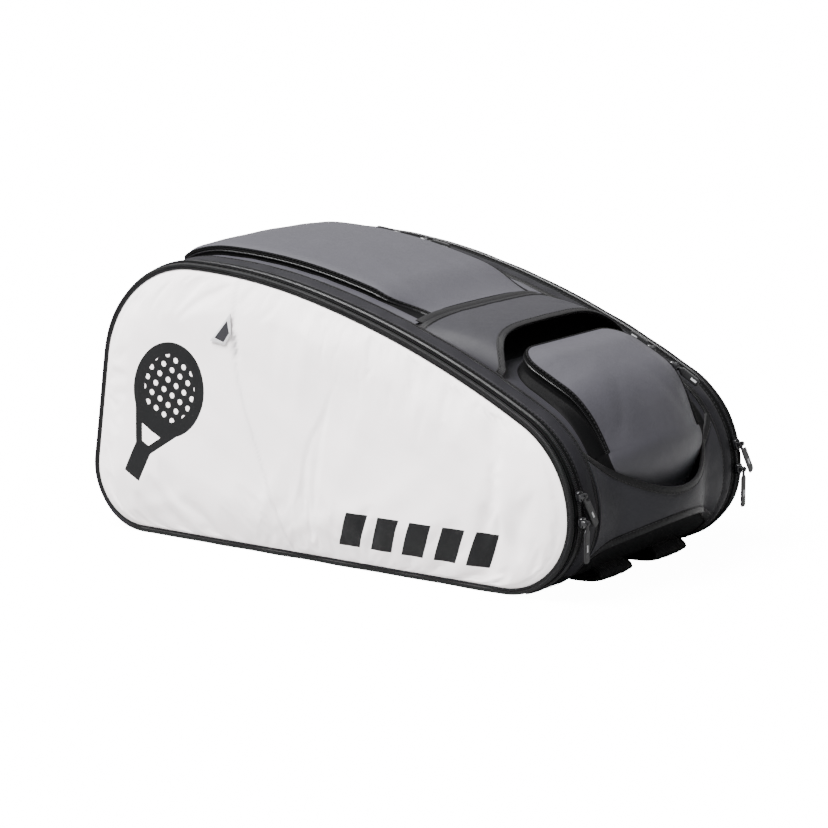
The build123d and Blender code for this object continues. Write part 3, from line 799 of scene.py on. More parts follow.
def makeDivider(name, side):
    # Flat padded wall, quilted in long channels: depth = -0.8 * exp(-(distance to channel)^2).
    x, z, edge, _ = panelPlan(110, 54, 3.6)
    channel = np.mod(x * 0.55 + z * 0.84, 46) - 23
    quilt = 0.8 * bell(channel, 3.0) + 1.0 * (1 - smooth(edge / 9))
    sheets = (xyz(x, side * (bag["seam"] + y), z) for y in (3.2 - quilt, 0.2 + quilt * 0.4))
    addPiece(f"{name}Divider", "root", "lining", shellForm(*sheets), sharp=80)


zipEnd = {
    # the sliders' and pulls' sizes, and the pitch of teeth and stitches
    "wide": 4.5, "long": 5.5, "low": 0.5, "top": 5.4, "pin": 8.6, "pinRadius": 1.1, "cheek": (2.5, 3.8),
    "eye": (2.6, 1.6), "tabWide": 8.5, "tabThick": 2.2, "doorPull": 38.0, "lidPull": 30.0,
    "pitch": 1.7, "stitchPitch": 4.4, "closeStitch": 4.2,
}
makePanels()
for sideName, sideSign in sides.items():
    makeCompartment(sideName, sideSign)
    makeDivider(sideName, sideSign)
print("racket compartments made")

centre = {
    # headings of the outline where each wall of the centre starts or ends, and the x past which the front is
    # painted dark as the shade under the carry handle
    "thick": 2.4, "narrow": 36.1, "wide": 319.6, "baseFrom": 214.6, "frontTo": 161.7, "rimFrom": 161.5,
    "paintedShadeFromX": 150.0,
}


def sheetAlong(start, stop, rows, y, high, **choice):
    # A sheet of the centre between two lengths; high is worked out from length and y.
    s = np.linspace(start, stop, rows)[:, None]
    return slab(s, y, high(s, y), centre["thick"], **choice)


def planInset(s, y, end, half, corner):
    # Distance from the rim of a plan with two rounded corners at its far end.
    over, past = half - np.abs(y), end - s
    inCorner = (over < corner) & (past < corner)
    rounded = corner - np.hypot(np.maximum(corner - over, 0), np.maximum(corner - past, 0))
    return np.where(inCorner, rounded, np.minimum(over, past))


def planHalf(s, end, half, corner):
    # Half width of that plan: half - corner + sqrt(corner^2 - over^2).
    over = np.clip(s - (end - corner), 0, corner)
    return half - corner + np.sqrt(np.maximum(corner ** 2 - over ** 2, 0))


def lidPlan(lid):
    # The plan that a lid and its walls share: start and end along the bag, half width, corner radius.
    return lengthAt(lid["from"]), lengthAt(lid["to"]), lid["half"], lid["corner"]


def wallPath(start, end, half, corner, count=36):
    # Up one side, round the far end and back: length, y and outward direction in plan.
    bow = np.linspace(0, pi / 2, 18)
    side = np.linspace(start, end - corner, count)[:-1]
    across = np.linspace(-(half - corner), half - corner, 24)[1:-1]
    sin, cos = corner * np.sin(bow), corner * np.cos(bow)
    s = np.concatenate([side, end - corner + sin, end + 0 * across, end - corner + cos, side[::-1]])
    y = np.concatenate([-half + 0 * side, corner - half - cos, across, half - corner + sin, half + 0 * side])
    ns = np.concatenate([0 * side, np.sin(bow), 1 + 0 * across, np.cos(bow), 0 * side])
    ny = np.concatenate([-1 + 0 * side, -np.cos(bow), 0 * across, np.sin(bow), 1 + 0 * side])
    return s, y, ns, ny


def wallForm(path, heights, offsets, thick, lid=None, **choice):
    # Upstanding strip on a plan path: the offset is outward in plan, the height off the bag.
    s, y, ns, ny = (v[:, None] for v in path)
    if lid:
        y = tuckIn(lid, s, y, np.clip(heights / 6, 0, 1))
        heights = np.where(heights > 0, heights * sink(lid, s, y), heights)
    outer = onBag(s + ns * offsets, y + ny * offsets, heights + 0 * s)
    inner = onBag(s + ns * (offsets - thick), y + ny * (offsets - thick), heights + 0 * s)
    return shellForm(outer, inner, **choice)


def wallLine(path, height, offset, lid=None):
    # A line on the strip and its outward directions, for coils and stitches.
    s, y, ns, ny = path
    if lid:
        y = tuckIn(lid, s, y, min(height / 6, 1))
        height = height * sink(lid, s, y)
    points = onBag(s + ns * offset, y + ny * offset, height)
    return points, ns[:, None] * forwardAt(s) + ny[:, None] * np.array([0.0, 1.0, 0.0])


# folds: place along and across, direction in degrees, half length, half width and height
carry = {"span": 111.0, "low": 8.5, "slope": 0.300, "fromX": 70.7, "midX": 138.0, "flare": 30.0, "web": 4.0,
         "square": 4.0, "binding": 4.6,
         "folds": [(110, 70, 60, 30, 6, 0.9), (95, -70, -50, 30, 6, 0.8), (120, 90, 80, 24, 5, -0.8),
                   (90, 0, 0, 60, 10, 0.5)]}
grab = {"midX": 304.7, "rootX": 250.7, "topMid": 91.0, "topSide": 138.0, "lowMid": 59.0, "lowSide": 28.0,
        "web": 4.0, "binding": 4.6,
        "folds": [(85, 100, 60, 26, 5, 0.9), (-85, 100, -60, 26, 5, 0.9), (95, 60, -20, 24, 5, 0.8),
                  (-95, 60, 20, 24, 5, 0.8), (100, 82, 10, 20, 4, -0.8)]}
mainLid = {"from": 161.85, "to": 214.8, "half": 97.0, "corner": 34.0, "tape": 7.2, "edge": 9.4, "rise": 13.0,
           "crown": 2.2, "sinkRun": 60.0, "tuck": 20.0, "leftTuck": 0.15, "tuckRun": 46.0,
           "hinge": (68.0, 54.0), "hingeTurn": (66.0, 58.0),
           "folds": [(40, -60, 20, 60, 9, 0.8), (110, 30, -15, 70, 12, -0.7), (170, -30, 70, 40, 10, 0.7),
                     (70, 60, 5, 50, 10, 0.6)]}
pocket = {"from": 118.7, "to": 155.7, "half": 90.0, "corner": 32.0, "edge": 20.0, "rise": 27.0, "crown": 5.5,
          "flare": 7.0, "footFlare": 15.0, "sinkRun": 68.0, "tuck": 8.0, "leftTuck": 1.0, "tuckRun": 80.0,
          "sinkSide": 0.26, "sinkMiddle": 0.72, "footHalf": 54.0, "footTop": 0.78,
          "footFrom": 86.0, "footTo": 118.8,
          "folds": [(30, -50, 40, 40, 8, -0.9), (25, 45, -30, 40, 9, -0.9), (80, 0, 80, 50, 12, 0.6),
                    (120, 30, 20, 40, 9, 0.5)]}


def carryArch(y):
    # Share of the handle's height across the bag: (1 - |y/span|^square)^0.6.
    return np.clip(1 - np.abs(y / carry["span"]) ** carry["square"], 0, 1) ** 0.6


def sink(lid, s, y):
    # Share of the height left towards the hinge: the main lid runs under the carry handle, the pocket
    # behind the grab handle.
    if lid is pocket:
        bow = 1 - np.clip(y / pocket["half"], -1, 1) ** 2
        left = pocket["sinkSide"] + (pocket["sinkMiddle"] - pocket["sinkSide"]) * bow
    else:
        left = np.clip(((carry["low"] + 3) * carryArch(y) - 4.2) / (lid["rise"] + lid["crown"]), 0.06, 1)
    return 1 - (1 - left) * (1 - smooth((s - lengthAt(lid["from"])) / lid["sinkRun"]))


def tuckIn(lid, s, y, share):
    # How far the sides draw in towards the hinge, which rounds the lid's corners there, the right one most.
    y = np.asarray(y, float)
    near = 1 - smooth((s - lengthAt(lid["from"])) / lid["tuckRun"])
    reach = np.where(y < 0, 1.0, lid["leftTuck"]) * lid["tuck"] * np.clip(np.abs(y) / lid["half"], 0, 1) ** 3
    return y - np.sign(y) * reach * near * share


def lidForm(lid, shoulder):
    # Lid skin on a rounded plan: edge + (rise - edge) * sine step of the inset, plus a crown and folds.
    start, end, half, corner = lidPlan(lid)
    straight = np.linspace(start, end - corner, 64)[:-1]
    s = np.concatenate([straight, end - corner + corner * np.sin(np.linspace(0, pi / 2, 26))])[:, None]
    b = np.sin(span(61) * pi / 2)[None] * 0.35 + span(61)[None] * 0.65
    y = b * planHalf(s, end, half, corner)
    inset = planInset(s, y, end, half, corner)
    step = np.sin(pi / 2 * np.clip(inset / shoulder, 0, 1))
    crown = lid["crown"] * (1 - (y / half) ** 2) * smooth(inset / 40)
    folds = crease(s - start, y, lid["folds"]) + 0.35 * ripple(s, y, 80, 17, 1.5)
    h = (lid["edge"] + (lid["rise"] - lid["edge"]) * step + crown) * sink(lid, s, y)
    h = h + folds * smooth(inset / 25) * smooth((s - start) / 20)
    return slab(s, tuckIn(lid, s, y, 1), h, centre["thick"], innerLook=1)


def makeCentre():
    seam = bag["seam"]
    y = span(71)[None] * (seam - 0.5)

    def soft(s, across):
        inset = seam - np.abs(across)
        return 0.9 * smooth(inset / 30) + 0.5 * ripple(s, across, 90, 51, 1.4) * smooth(inset / 20)

    base = sheetAlong(lengthAt(centre["baseFrom"]), lengthAt(centre["wide"]), 70, y, soft, innerLook=1)
    addPiece("basePanel", "root", "greyFabric lining", base)
    start, stop = lengthAt(bag["wrapTop"]), lengthAt(centre["frontTo"])
    s = np.linspace(start, stop, 131)[:-1]
    # painted shade: past this x the front panel takes the dark lining finish, standing in for the shade under the
    # carry handle
    look = np.broadcast_to(np.where(s > lengthAtX(centre["paintedShadeFromX"]), 1, 0)[:, None], (130, 70))
    front = sheetAlong(start, stop, 131, y, lambda a, c: soft(a, c) - 0.6, look=look, innerLook=1)
    # the front panel's grey is painted shade, a darker copy of the grey fabric
    addPiece("frontPanel", "root", "midGrey lining", front)
    wrap = sheetAlong(lengthAt(centre["narrow"]), start + 1.5, 40, y, lambda a, c: 0.5 + 0.5 * soft(a, c))
    addPiece("endWrap", "root", "blackFabric", wrap)

    forms = []
    for side in (-1, 1):
        _, end, half, corner = lidPlan(mainLid)
        straight = np.linspace(lengthAt(centre["rimFrom"]), end - corner, 50)[:-1]
        rows = np.concatenate([straight, end - corner + corner * np.sin(np.linspace(0, pi / 2, 20))])[:, None]
        inner = planHalf(rows, end, half, corner) - 3.5
        t = np.linspace(0, 1, 9)[None]
        across = side * (inner + (seam - 0.5 - inner) * t)
        h = 0.8 * np.sin(pi * t) + 0.25 * ripple(rows, across, 40, 61)
        forms.append(slab(rows, across, h, centre["thick"], innerLook=1))
    addPiece("mainRim", "root", "greyFabric lining", *forms)

    # back pad: quilted channels under a flat top
    low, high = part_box("back_panel")
    x = np.linspace(low.x / mm, high.x / mm, 130)[:, None]
    y = np.linspace(-seam + 0.6, seam - 0.6, 64)[None]
    rim = smooth(np.minimum(np.minimum(x - x[0], x[-1] - x), seam - 0.6 - np.abs(y)) / 12)
    cross = bell(np.mod(x + 40, 92) - 46, 6) * smooth((np.abs(y) - 8) / 10)
    groove = np.maximum(np.exp(-(y / 11) ** 4), cross)
    under = low.z / mm + 5 * (1 - rim) + 4.2 * groove * rim
    pinned = groove > 0.6
    pinned[[0, -1]] = pinned[:, [0, -1]] = True
    bottom = swell(xyz(x, y, under), gridFaces(*under.shape), pinned, -1.5, 1.5, 10)
    form = shellForm(bottom, xyz(x, y, 0 * under + high.z / mm))
    addPiece("backPanel", "root", "paddedMesh", form, sharp=70)


def makeLidParts(lid, name, zipName, coils, band, thick, shoulder, stitchAt):
    # Coils either side of the parting, the lid's tape, its skin and its row of stitches.
    path = wallPath(*lidPlan(lid))
    (lowCoil, highCoil), out = coils
    fixed = copiesForm(*wallLine(path, lowCoil, out, lid), zipEnd["pitch"], tooth)
    addPiece(f"{zipName}ZipCoil", "root", "zipCoil", fixed)
    upper = copiesForm(*wallLine(path, highCoil, out, lid), zipEnd["pitch"], tooth * [1, -1, 1], 0.5)
    heights = np.linspace(*band, 5)[None]
    body = f"{zipName.lower()}_lid"
    addPiece(f"{name}Tape", body, "zipTape", upper, wallForm(path, heights, 0.4 + 0 * heights, thick, lid))
    addPiece(name, body, "greyFabric lining", lidForm(lid, shoulder), sharp=70)
    line = copiesForm(*wallLine(path, stitchAt, 0.5, lid), zipEnd["closeStitch"], stitch)
    addPiece(f"{name}Stitch", body, "thread", line)


def makeMainLid():
    heights = np.linspace(-0.6, 5.4, 8)[None]
    wall = wallForm(wallPath(*lidPlan(mainLid)), heights, 0.5 * bell(heights - 0.6, 1.2), 3.0, mainLid)
    addPiece("mainZipWall", "root", "zipTape", wall)
    makeLidParts(mainLid, "mainLid", "main", ((5.3, 7.1), 0.2), (mainLid["tape"], 10.2), 3.0, 11.0, 9.6)

    # cloth hinge under the handle's straight edge
    x = np.linspace(*mainLid["hinge"], 22)[:, None]
    y = span(61)[None] * (mainLid["half"] - mainLid["tuck"] - 4)
    h = (carry["low"] + 3) * carryArch(y) - 6.9 + 0 * x
    piece = addPiece("mainLidHinge", None, "lining", slab(lengthAtX(x), y, h, 0.8), sharp=70)
    start, end = (tuple(onBag(lengthAtX(at), 0, 4.0) * mm) for at in mainLid["hingeTurn"])
    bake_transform(piece)


def makePocket():
    path = wallPath(*lidPlan(pocket))
    heights = np.linspace(-0.8, 14.6, 14)[None]
    start = lengthAt(pocket["from"])
    foot = 1 - smooth((path[0][:, None] - start) / 90)  # the wall spreads towards the grab handle
    spread = pocket["flare"] + (pocket["footFlare"] - pocket["flare"]) * foot
    flare = spread * (1 - smooth((heights + 0.8) / 10)) ** 1.3 + 0.6 * np.sin(heights * 0.9) ** 2
    atEnd = 1 - 0.8 * np.abs(path[2])[:, None]
    addPiece("frontPocket", "root", "zipTape", wallForm(path, heights, flare * atEnd, 2.6, pocket))
    makeLidParts(pocket, "frontLid", "front", ((15.0, 16.9), 0.3), (17.2, 20.4), 2.6, 34.0, 19.9)

    # sewn-down lower end: the lid's own section at the hinge, sinking to a low arch under the grab handle
    half, tuck, slim = pocket["half"], pocket["tuck"], pocket["footHalf"]
    s = np.linspace(lengthAt(pocket["footFrom"]), lengthAt(pocket["footTo"]), 52)[:, None]
    t = (s - s[0]) / (s[-1] - s[0])
    b = span(71)[None]
    topPart = np.clip(np.abs(b) / pocket["footTop"], 0, 1)
    down = np.clip((np.abs(b) - pocket["footTop"]) / (1 - pocket["footTop"]), 0, 1)
    wideY = np.sign(b) * ((half - tuck) * topPart + (tuck + pocket["footFlare"]) * down ** 1.5)
    step = np.sin(pi / 2 * np.clip(half * (1 - topPart) / 34, 0, 1))
    crowned = pocket["edge"] + (pocket["rise"] - pocket["edge"]) * step + pocket["crown"] * (1 - topPart ** 2)
    wideH = crowned * sink(pocket, start + 0 * b, wideY) * (1 - down) - 1.5 * down
    slimH = 9 * (1 - np.abs(b) ** 3) - 6
    share = smooth(t) ** 0.75
    h = slimH + (wideH - slimH) * share + 0.6 * ripple(s, b * 80, 60, 71) * (1 - b ** 2) * (1 - share)
    y = slim * b + (wideY - slim * b) * smooth(t * 1.1) ** 0.8
    look = np.where(np.abs(b[:, 1:] + b[:, :-1]) > 1.6, 1, 0) + 0 * s[1:].astype(int)
    skin = slab(s, y, h, centre["thick"], look=look, innerLook=2)
    addPiece("frontPocketFoot", "root", "greyFabric zipTape lining", skin, sharp=70)


def webUnder(thick, t):
    # Thickness of a padded web, thinner at both edges.
    return thick * (0.4 + 0.6 * np.sin(pi * np.clip(t, 0.02, 0.98)) ** 0.5)


def carryForm(left, right, thick, puff):
    # Web between two plan lines: height = (rise(x) + 3) * (1 - |y/span|^square)^0.6 - 3, puffed between them.
    y = (np.sin(span(121) * pi / 2) + span(121))[:, None] * 0.5 * carry["span"]
    t = np.linspace(0, 1, 22)[None]
    flare = carry["flare"] * np.minimum(np.abs(y / carry["span"]) ** 6 * 1.15, 1)
    mouth, straight = carry["midX"] + flare, carry["fromX"]
    x0, x1 = (mouth - by if edge == "mouth" else straight + by for edge, by in (left, right))
    x = x0 + (x1 - x0) * t + 0 * y
    end = smooth((carry["span"] - np.abs(y)) / 12)
    h = (carry["low"] + carry["slope"] * (x - carry["fromX"]) + 3) * carryArch(y) - 3
    h = h + puff * np.sin(pi * t) ** 0.7 * end + crease(x, y, carry["folds"]) * end
    return slab(lengthAtX(x), y, h, webUnder(thick, t)), onBag(lengthAtX(x), y, h)


def makeCarry():
    form, _ = carryForm(("straight", 7.0), ("mouth", 7.0), carry["web"], 1.4)
    # the handle's grey is painted shade, a darker copy of the grey fabric
    addPiece("carryHandle", "root", "midGrey", form, sharp=70)
    leftForm, leftTop = carryForm(("straight", 0.0), ("straight", 8.0), carry["binding"], 0.9)
    rightForm, rightTop = carryForm(("mouth", 8.0), ("mouth", 0.0), carry["binding"], 0.9)
    x = np.linspace(-8.5, 1.5, 9)[None] + carry["fromX"]
    y = span(97)[:, None] * 103
    t = (x - x[0, 0]) / 10
    h = (carry["low"] + 3) * carryArch(y) - 4.1 + 0.9 * np.sin(pi * t) + 0.5 * t
    strip = slab(lengthAtX(x), y, h, 2.2)
    addPiece("carryHandleTape", "root", "edgeTape", leftForm, rightForm, strip, sharp=70)
    addPiece("carryHandleStitch", "root", "thread", edgeStitch(leftTop[:, 17], 0, 0.15, 0.2, 1.0),
             edgeStitch(rightTop[:, 4], 0, 0.15, 0.2, 1.0))


def edgeStitch(path, shiftX, shiftZ, outX, outZ):
    # Stitches on a line lifted a little off its tape.
    outward = np.tile([outX, 0, outZ], (len(path), 1))
    return copiesForm(path + [shiftX, 0, shiftZ], outward, zipEnd["closeStitch"], stitch)


def bagX(z):
    # Outward reach of the narrow end at each height: arc centre + sqrt(radius^2 - rise^2).
    middle = turnRadius[0]
    tip = onBag(lengthAt(90), 0, 0)[0]
    low, high = (tip - r + np.sqrt(np.maximum(r ** 2 - (z - middle) ** 2, 0)) for r in turnRadius[:2])
    return np.where(z < middle, low, high)


def grabForm(low, high, thick, puff):
    # Bow x = mid - (mid - root) * (y/seam)^2 between two waisted edges, never nearer than the bag's skin.
    seam = bag["seam"]
    y = span(97)[:, None] * (seam - 1)
    q = (y / seam) ** 2
    t = np.linspace(0, 1, 20)[None]
    bottom = grab["lowMid"] + (grab["lowSide"] - grab["lowMid"]) * q
    top = grab["topMid"] + (grab["topSide"] - grab["topMid"]) * q
    z0, z1 = (bottom + by if edge == "low" else top - by for edge, by in (low, high))
    z = z0 + (z1 - z0) * t
    depth = grab["midX"] - grab["rootX"]
    bow = grab["midX"] - depth * q
    skin = bagX(z) + 2.6
    x = skin + np.logaddexp(0, (bow - skin) / 2.5) * 2.5 - 2.5 * math.log(2) * bell(bow - skin, 12)
    x = x + puff * np.sin(pi * t) ** 0.7 + crease(y, z, grab["folds"]) * 0.8
    free = smooth((bow - skin) / 10)
    slope = 2 * depth * y / seam ** 2
    nx, ny = 1 / np.sqrt(1 + slope ** 2), slope / np.sqrt(1 + slope ** 2)
    body = webUnder(thick, t)
    outer = xyz(x, y + 0 * t, z)
    return shellForm(outer, xyz(x - body * (nx * free + 1 - free), y - body * ny * free, z)), outer


def makeGrab():
    form, _ = grabForm(("low", 7.0), ("top", 7.0), grab["web"], 1.2)
    # the handle's grey is painted shade, a darker copy of the grey fabric
    addPiece("endHandle", "root", "midGrey", form, sharp=70)
    upperForm, upperTop = grabForm(("top", 8.0), ("top", 0.0), grab["binding"], 0.8)
    lowerForm, lowerTop = grabForm(("low", 0.0), ("low", 8.0), grab["binding"], 0.8)
    addPiece("endHandleTape", "root", "edgeTape", upperForm, lowerForm, sharp=70)
    addPiece("endHandleStitch", "root", "thread", edgeStitch(upperTop[:, 4], 0.15, 0, 1.0, 0.1),
             edgeStitch(lowerTop[:, 15], 0.15, 0, 1.0, 0.1))


makeCentre()
makeMainLid()
makePocket()
makeCarry()
makeGrab()
print("centre, lids and handles made")

strap = {
    "wide": 62.0, "thick": 12.0, "level": 6.0, "turnX": 226.0, "foldX": 276.0, "foldZ": 5.2,
    "hinge": (249.0, 17.0), "channels": (-11.0, 11.0), "rows": 110, "turnFrom": 0.9, "turnRun": 0.1,
}
lock = {"bar": 2.5, "power": 5.0, "midBar": -1.0}


def makeStrap(name):
    # Superellipse section carried along the back, then round a quadratic turn to the hinge.
    low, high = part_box(f"{name}_strap")
    y0, x0 = (low.y + high.y) / 2 / mm, low.x / mm
    run = np.linspace(0, 1, strap["rows"])
    flat = np.clip(run / strap["turnFrom"], 0, 1)
    turn = np.clip((run - strap["turnFrom"]) / strap["turnRun"], 0, 1)

    def rounded(first, middle, last):
        return (1 - turn) ** 2 * first + 2 * turn * (1 - turn) * middle + turn ** 2 * last

    bendX = rounded(strap["turnX"], strap["foldX"], strap["hinge"][0])
    x = np.where(turn > 0, bendX, x0 + (strap["turnX"] - x0) * flat)
    z = np.where(turn > 0, rounded(strap["level"], strap["foldZ"], strap["hinge"][1]), strap["level"])
    size = np.sqrt(np.clip(1 - (1 - np.clip((x - x0) / 14, 0, 1)) ** 2, 0.03, 1))
    thick = size * (1 - 0.55 * smooth(turn * 1.2))
    dx, dz = np.gradient(x), np.gradient(z)
    nx, nz = (v[:, None] / np.hypot(dx, dz)[:, None] for v in (-dz, dx))
    wide = (strap["wide"] / 2 - 1.2) * (0.75 + 0.25 * size) * (1 - 0.12 * smooth(turn))
    ringY, ringZ = superRing(1, 1, 40, 3.0)
    groove = sum(bell(ringY * strap["wide"] / 2 - at, 2.2) for at in strap["channels"])[None]
    cross = bell(np.mod(x - x0, 70) - 35, 2.4)[:, None] * (np.abs(ringY) < 0.4)[None]
    sewn = np.maximum(groove, cross)
    depth = (strap["thick"] / 2 - 0.3) * thick[:, None] * ringZ[None] * (1 - 0.34 * sewn)
    loops = xyz(x[:, None] + nx * depth, y0 + wide[:, None] * ringY[None], z[:, None] + nz * depth)
    pinned = (sewn > 0.5) | (np.abs(ringY) > 0.9)[None] | (turn > 0)[:, None] | (x < x0 + 10)[:, None]
    loops = swell(loops, loopFaces(*loops.shape[:2]), pinned, 1.6, 1.0, 10)
    body = f"{name}_strap"
    addPiece(f"{name}Strap", body, "paddedMesh", loopForm(loops), sharp=75)
    beadY, beadZ = superRing(1.5, 2.4, 10, 2.0)
    beads = []
    for edge in (-1, 1):
        path = xyz(x, y0 + edge * wide, z)[2:]
        beads.append(loopForm(path[:, None] + xyz(nx[2:] * beadZ, beadY, nz[2:] * beadZ)))
    addPiece(f"{name}StrapBinding", body, "edgeTape", *beads)
    makeLock(name, y0)


def makeLock(name, y0):
    # Rounded frame: a superellipse path carrying an oval bar, and one flattened bar across the middle.
    low, high = (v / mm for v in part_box(f"{name}_ladder_lock"))
    middle, half = (low + high) / 2, (high - low) / 2
    a = np.linspace(0, 2 * pi, 96, endpoint=False)
    cx, cy = (np.sign(v) * np.abs(v) ** (2 / lock["power"]) * (reach - lock["bar"])
              for v, reach in ((np.cos(a), half.x), (np.sin(a), half.y)))
    normal = xy(np.roll(cy, -1) - np.roll(cy, 1), np.roll(cx, 1) - np.roll(cx, -1))
    normal /= np.linalg.norm(normal, axis=1, keepdims=True)
    ringA, ringB = superRing(lock["bar"], half.z - 0.2, 14, 3.0)
    loops = xyz(cx[:, None] + normal[:, :1] * ringA, cy[:, None] + normal[:, 1:] * ringA, ringB)
    forms = [loopForm(loops + np.array(middle), wrap=True)]
    for shift, size in ((lock["midBar"], 2.6), (half.x - 3.4, 3.2)):
        across = span(21)[:, None] * (half.y - 2.4)
        barA, barB = superRing(size, half.z * 0.75, 14, 3.0)
        ridge = 1 + 0.08 * np.cos(across * 1.6)
        forms.append(loopForm(xyz(shift + barA, across, barB * ridge) + np.array(middle)))
    addPiece(f"{name}LadderLock", f"{name}_strap", "buckle", *forms)

    # webbing from the anchor through the lock, in one shallow wave
    webLow, webHigh = (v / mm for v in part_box(f"{name}_webbing"))
    x = np.linspace(webLow.x, middle.x + 4, 90)[:, None]
    y = span(13)[None] * (webHigh.y - webLow.y) / 2
    inLock = smooth((x - low.x + 6) / 8)
    z = (webLow.z + webHigh.z) / 2 + 0.9 * np.sin((x - webLow.x) / 24) * (1 - inLock)
    z = z + 1.6 * inLock * bell(x - middle.x + 1, 5)
    edge = 0.8 * (1 - 0.5 * (np.abs(y) / np.abs(y).max()) ** 8)
    form = shellForm(xyz(x, y0 + y, z + edge), xyz(x, y0 + y, z - edge))
    webbing = addPiece(f"{name}Webbing", None, "webbing", form)
    start, end = ((at * mm, y0 * mm, z[0, 0] * mm) for at in (webLow.x, webHigh.x))
    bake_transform(webbing)

    # folded end of the webbing, sewn to the bag with a boxed cross
    low, high = (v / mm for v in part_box(f"{name}_strap_anchor"))
    x = np.linspace(low.x, high.x, 24)[:, None]
    y = np.linspace(low.y, high.y, 20)[None]
    rim = np.minimum(np.minimum(x - low.x, high.x - x), np.minimum(y - low.y, high.y - y))
    under = low.z + 3.5 + (x - low.x) / (high.x - low.x) * -1.5 - 1.2 * smooth(rim / 3)
    form = shellForm(xyz(x, y, 0 * rim + high.z), xyz(x, y, under))
    middle, wide = (low + high) / 2, (high.y - low.y) / 2 - 3
    corners = [(-5, -wide), (5, -wide), (5, wide), (-5, wide), (-5, -wide), (5, wide), (5, -wide), (-5, wide)]
    track = np.concatenate([np.linspace(a, b, 12, endpoint=False) for a, b in zip(corners[:-1], corners[1:])])
    line = xyz(middle.x + track[:, 0], middle.y + track[:, 1], low.z + 1.7)
    sewn = copiesForm(line, np.tile([0, 0, -1.0], (len(line), 1)), 4.0, stitch, look=1)
    addPiece(f"{name}StrapAnchor", "root", "webbing thread", form, sewn)


for sideName in sides:
    makeStrap(sideName)
print("straps made")

parked = {  # outline heading in degrees, height off the bag, and the pull's lean or the way it points
    "upper": (103.0, 0.0, 34.0), "lower": (90.0, 0.0, 0.0),
    "main_a": (174.07, 6.5, 1), "main_b": (171.04, 6.5, -1),
    "front_a": (153.2, 16.5, 1), "front_b": (150.0, 16.5, -1),
}


def sliderForms():
    # Body: rounded rings along the zip, wider at the nose; two cheeks and a pin stand on it.
    low, top, pin = zipEnd["low"], zipEnd["top"], zipEnd["pin"]
    x = span(15)[:, None]
    end = np.sqrt(1 - np.abs(x) ** 5 * 0.96)
    wide = zipEnd["wide"] * (0.86 + 0.14 * np.cos((x - 0.5) * 1.6)) * end
    ringA, ringB = superRing(1, 1, 18, 4.0)
    waist = 1 - 0.10 * bell(ringB, 0.35)
    high = (low + top) / 2 + (top - low) / 2 * ringB * (0.75 + 0.25 * end)
    forms = [loopForm(xyz(x * zipEnd["long"], wide * (ringA * waist), high))]
    a = np.linspace(0, pi, 9)
    cheekX = np.concatenate([[-2.3], -2.0 * np.cos(a), [2.3, 0.0]])
    cheekZ = np.concatenate([[top - 0.6], pin + 1.5 * np.sin(a) - 0.05, [top - 0.6] * 2])
    near, far = zipEnd["cheek"]
    size = np.array([0.9, 1, 1, 0.85])[:, None]
    for side in (-1, 1):
        y = np.array([near, near + 0.2, far - 0.3, far])[:, None] * side
        forms.append(loopForm(xyz(cheekX * size, y, top + 1 + (cheekZ - top - 1) * size)))
    ringA, ringB = superRing(zipEnd["pinRadius"], zipEnd["pinRadius"], 12, 2.0)
    size = np.array([0.7, 1, 1, 0.7])[:, None]
    forms.append(loopForm(xyz(ringA * size, np.array([-4.1, -3.9, 3.9, 4.1])[:, None], pin + ringB * size)))
    return forms


def pullForms(length, leanDegrees):
    # Eye: a ring round the pin; tab: rounded sections that widen from the neck, with grip ridges.
    a = np.linspace(0, 2 * pi, 20, endpoint=False)[:, None]
    outer, inner = zipEnd["eye"]
    ringA, ringB = superRing((outer - inner) / 2 + 0.05, 1.9, 10, 3.0)
    reach = (outer + inner) / 2 + ringA[None]
    eye = xyz(reach * np.cos(a), ringB[None], reach * np.sin(a))
    tipRun = length - 3 + 3 * np.sin(np.linspace(0.2, pi / 2, 7))
    x = np.concatenate([[1.9, 2.6, 4.0, 5.4], np.linspace(6.4, length - 3, 34), tipRun])[:, None]
    tip = np.sqrt(np.clip(1 - (np.maximum(x - (length - 3), 0) / 3.02) ** 2, 0.02, 1))
    wide = (1.8 + (zipEnd["tabWide"] / 2 - 1.8) * smooth((x - 5.0) / 4)) * (0.35 + 0.65 * tip)
    ridge = 0.14 * np.sin((x - 9) * 2 * pi / 2.4) * smooth((x - 8) / 2) * smooth((length * 0.48 - x) / 2)
    thick = zipEnd["tabThick"] / 2 * (0.9 + ridge) * (0.55 + 0.45 * tip)
    ringA, ringB = superRing(1, 1, 20, 3.6)
    along, across = x + 0 * ringA, wide * ringA[None]
    turn = math.radians(leanDegrees) * smooth((x - 4) / 4)
    px, py = along * np.cos(turn) - across * np.sin(turn), along * np.sin(turn) + across * np.cos(turn)
    points, faces, uv, index = loopForm(xyz(px, py, thick * ringB[None]))
    local = xy(along, across).reshape(-1, 2) * mm + [0, 0.0042]
    onTop = np.broadcast_to(np.abs(ringB)[None] > 0.5, along.shape).reshape(-1)
    uv = np.where(onTop[faces].all(1)[:, None, None], local[faces], local[faces] * [1, 0] + [0, 0.03])
    return [loopForm(eye, wrap=True), (points, faces, uv, index)]


def seat(forms, origin, along, out):
    # Local axes: along the zip, across it, and out of the tape.
    along, out = (np.array(v, float) / np.linalg.norm(v) for v in (along, out))
    axes = np.stack([along, np.cross(out, along), out])
    return [(points @ axes + origin, faces, uv, index) for points, faces, uv, index in forms]


def camel(name):
    first, *rest = name.split("_")
    return first + "".join(word.capitalize() for word in rest)


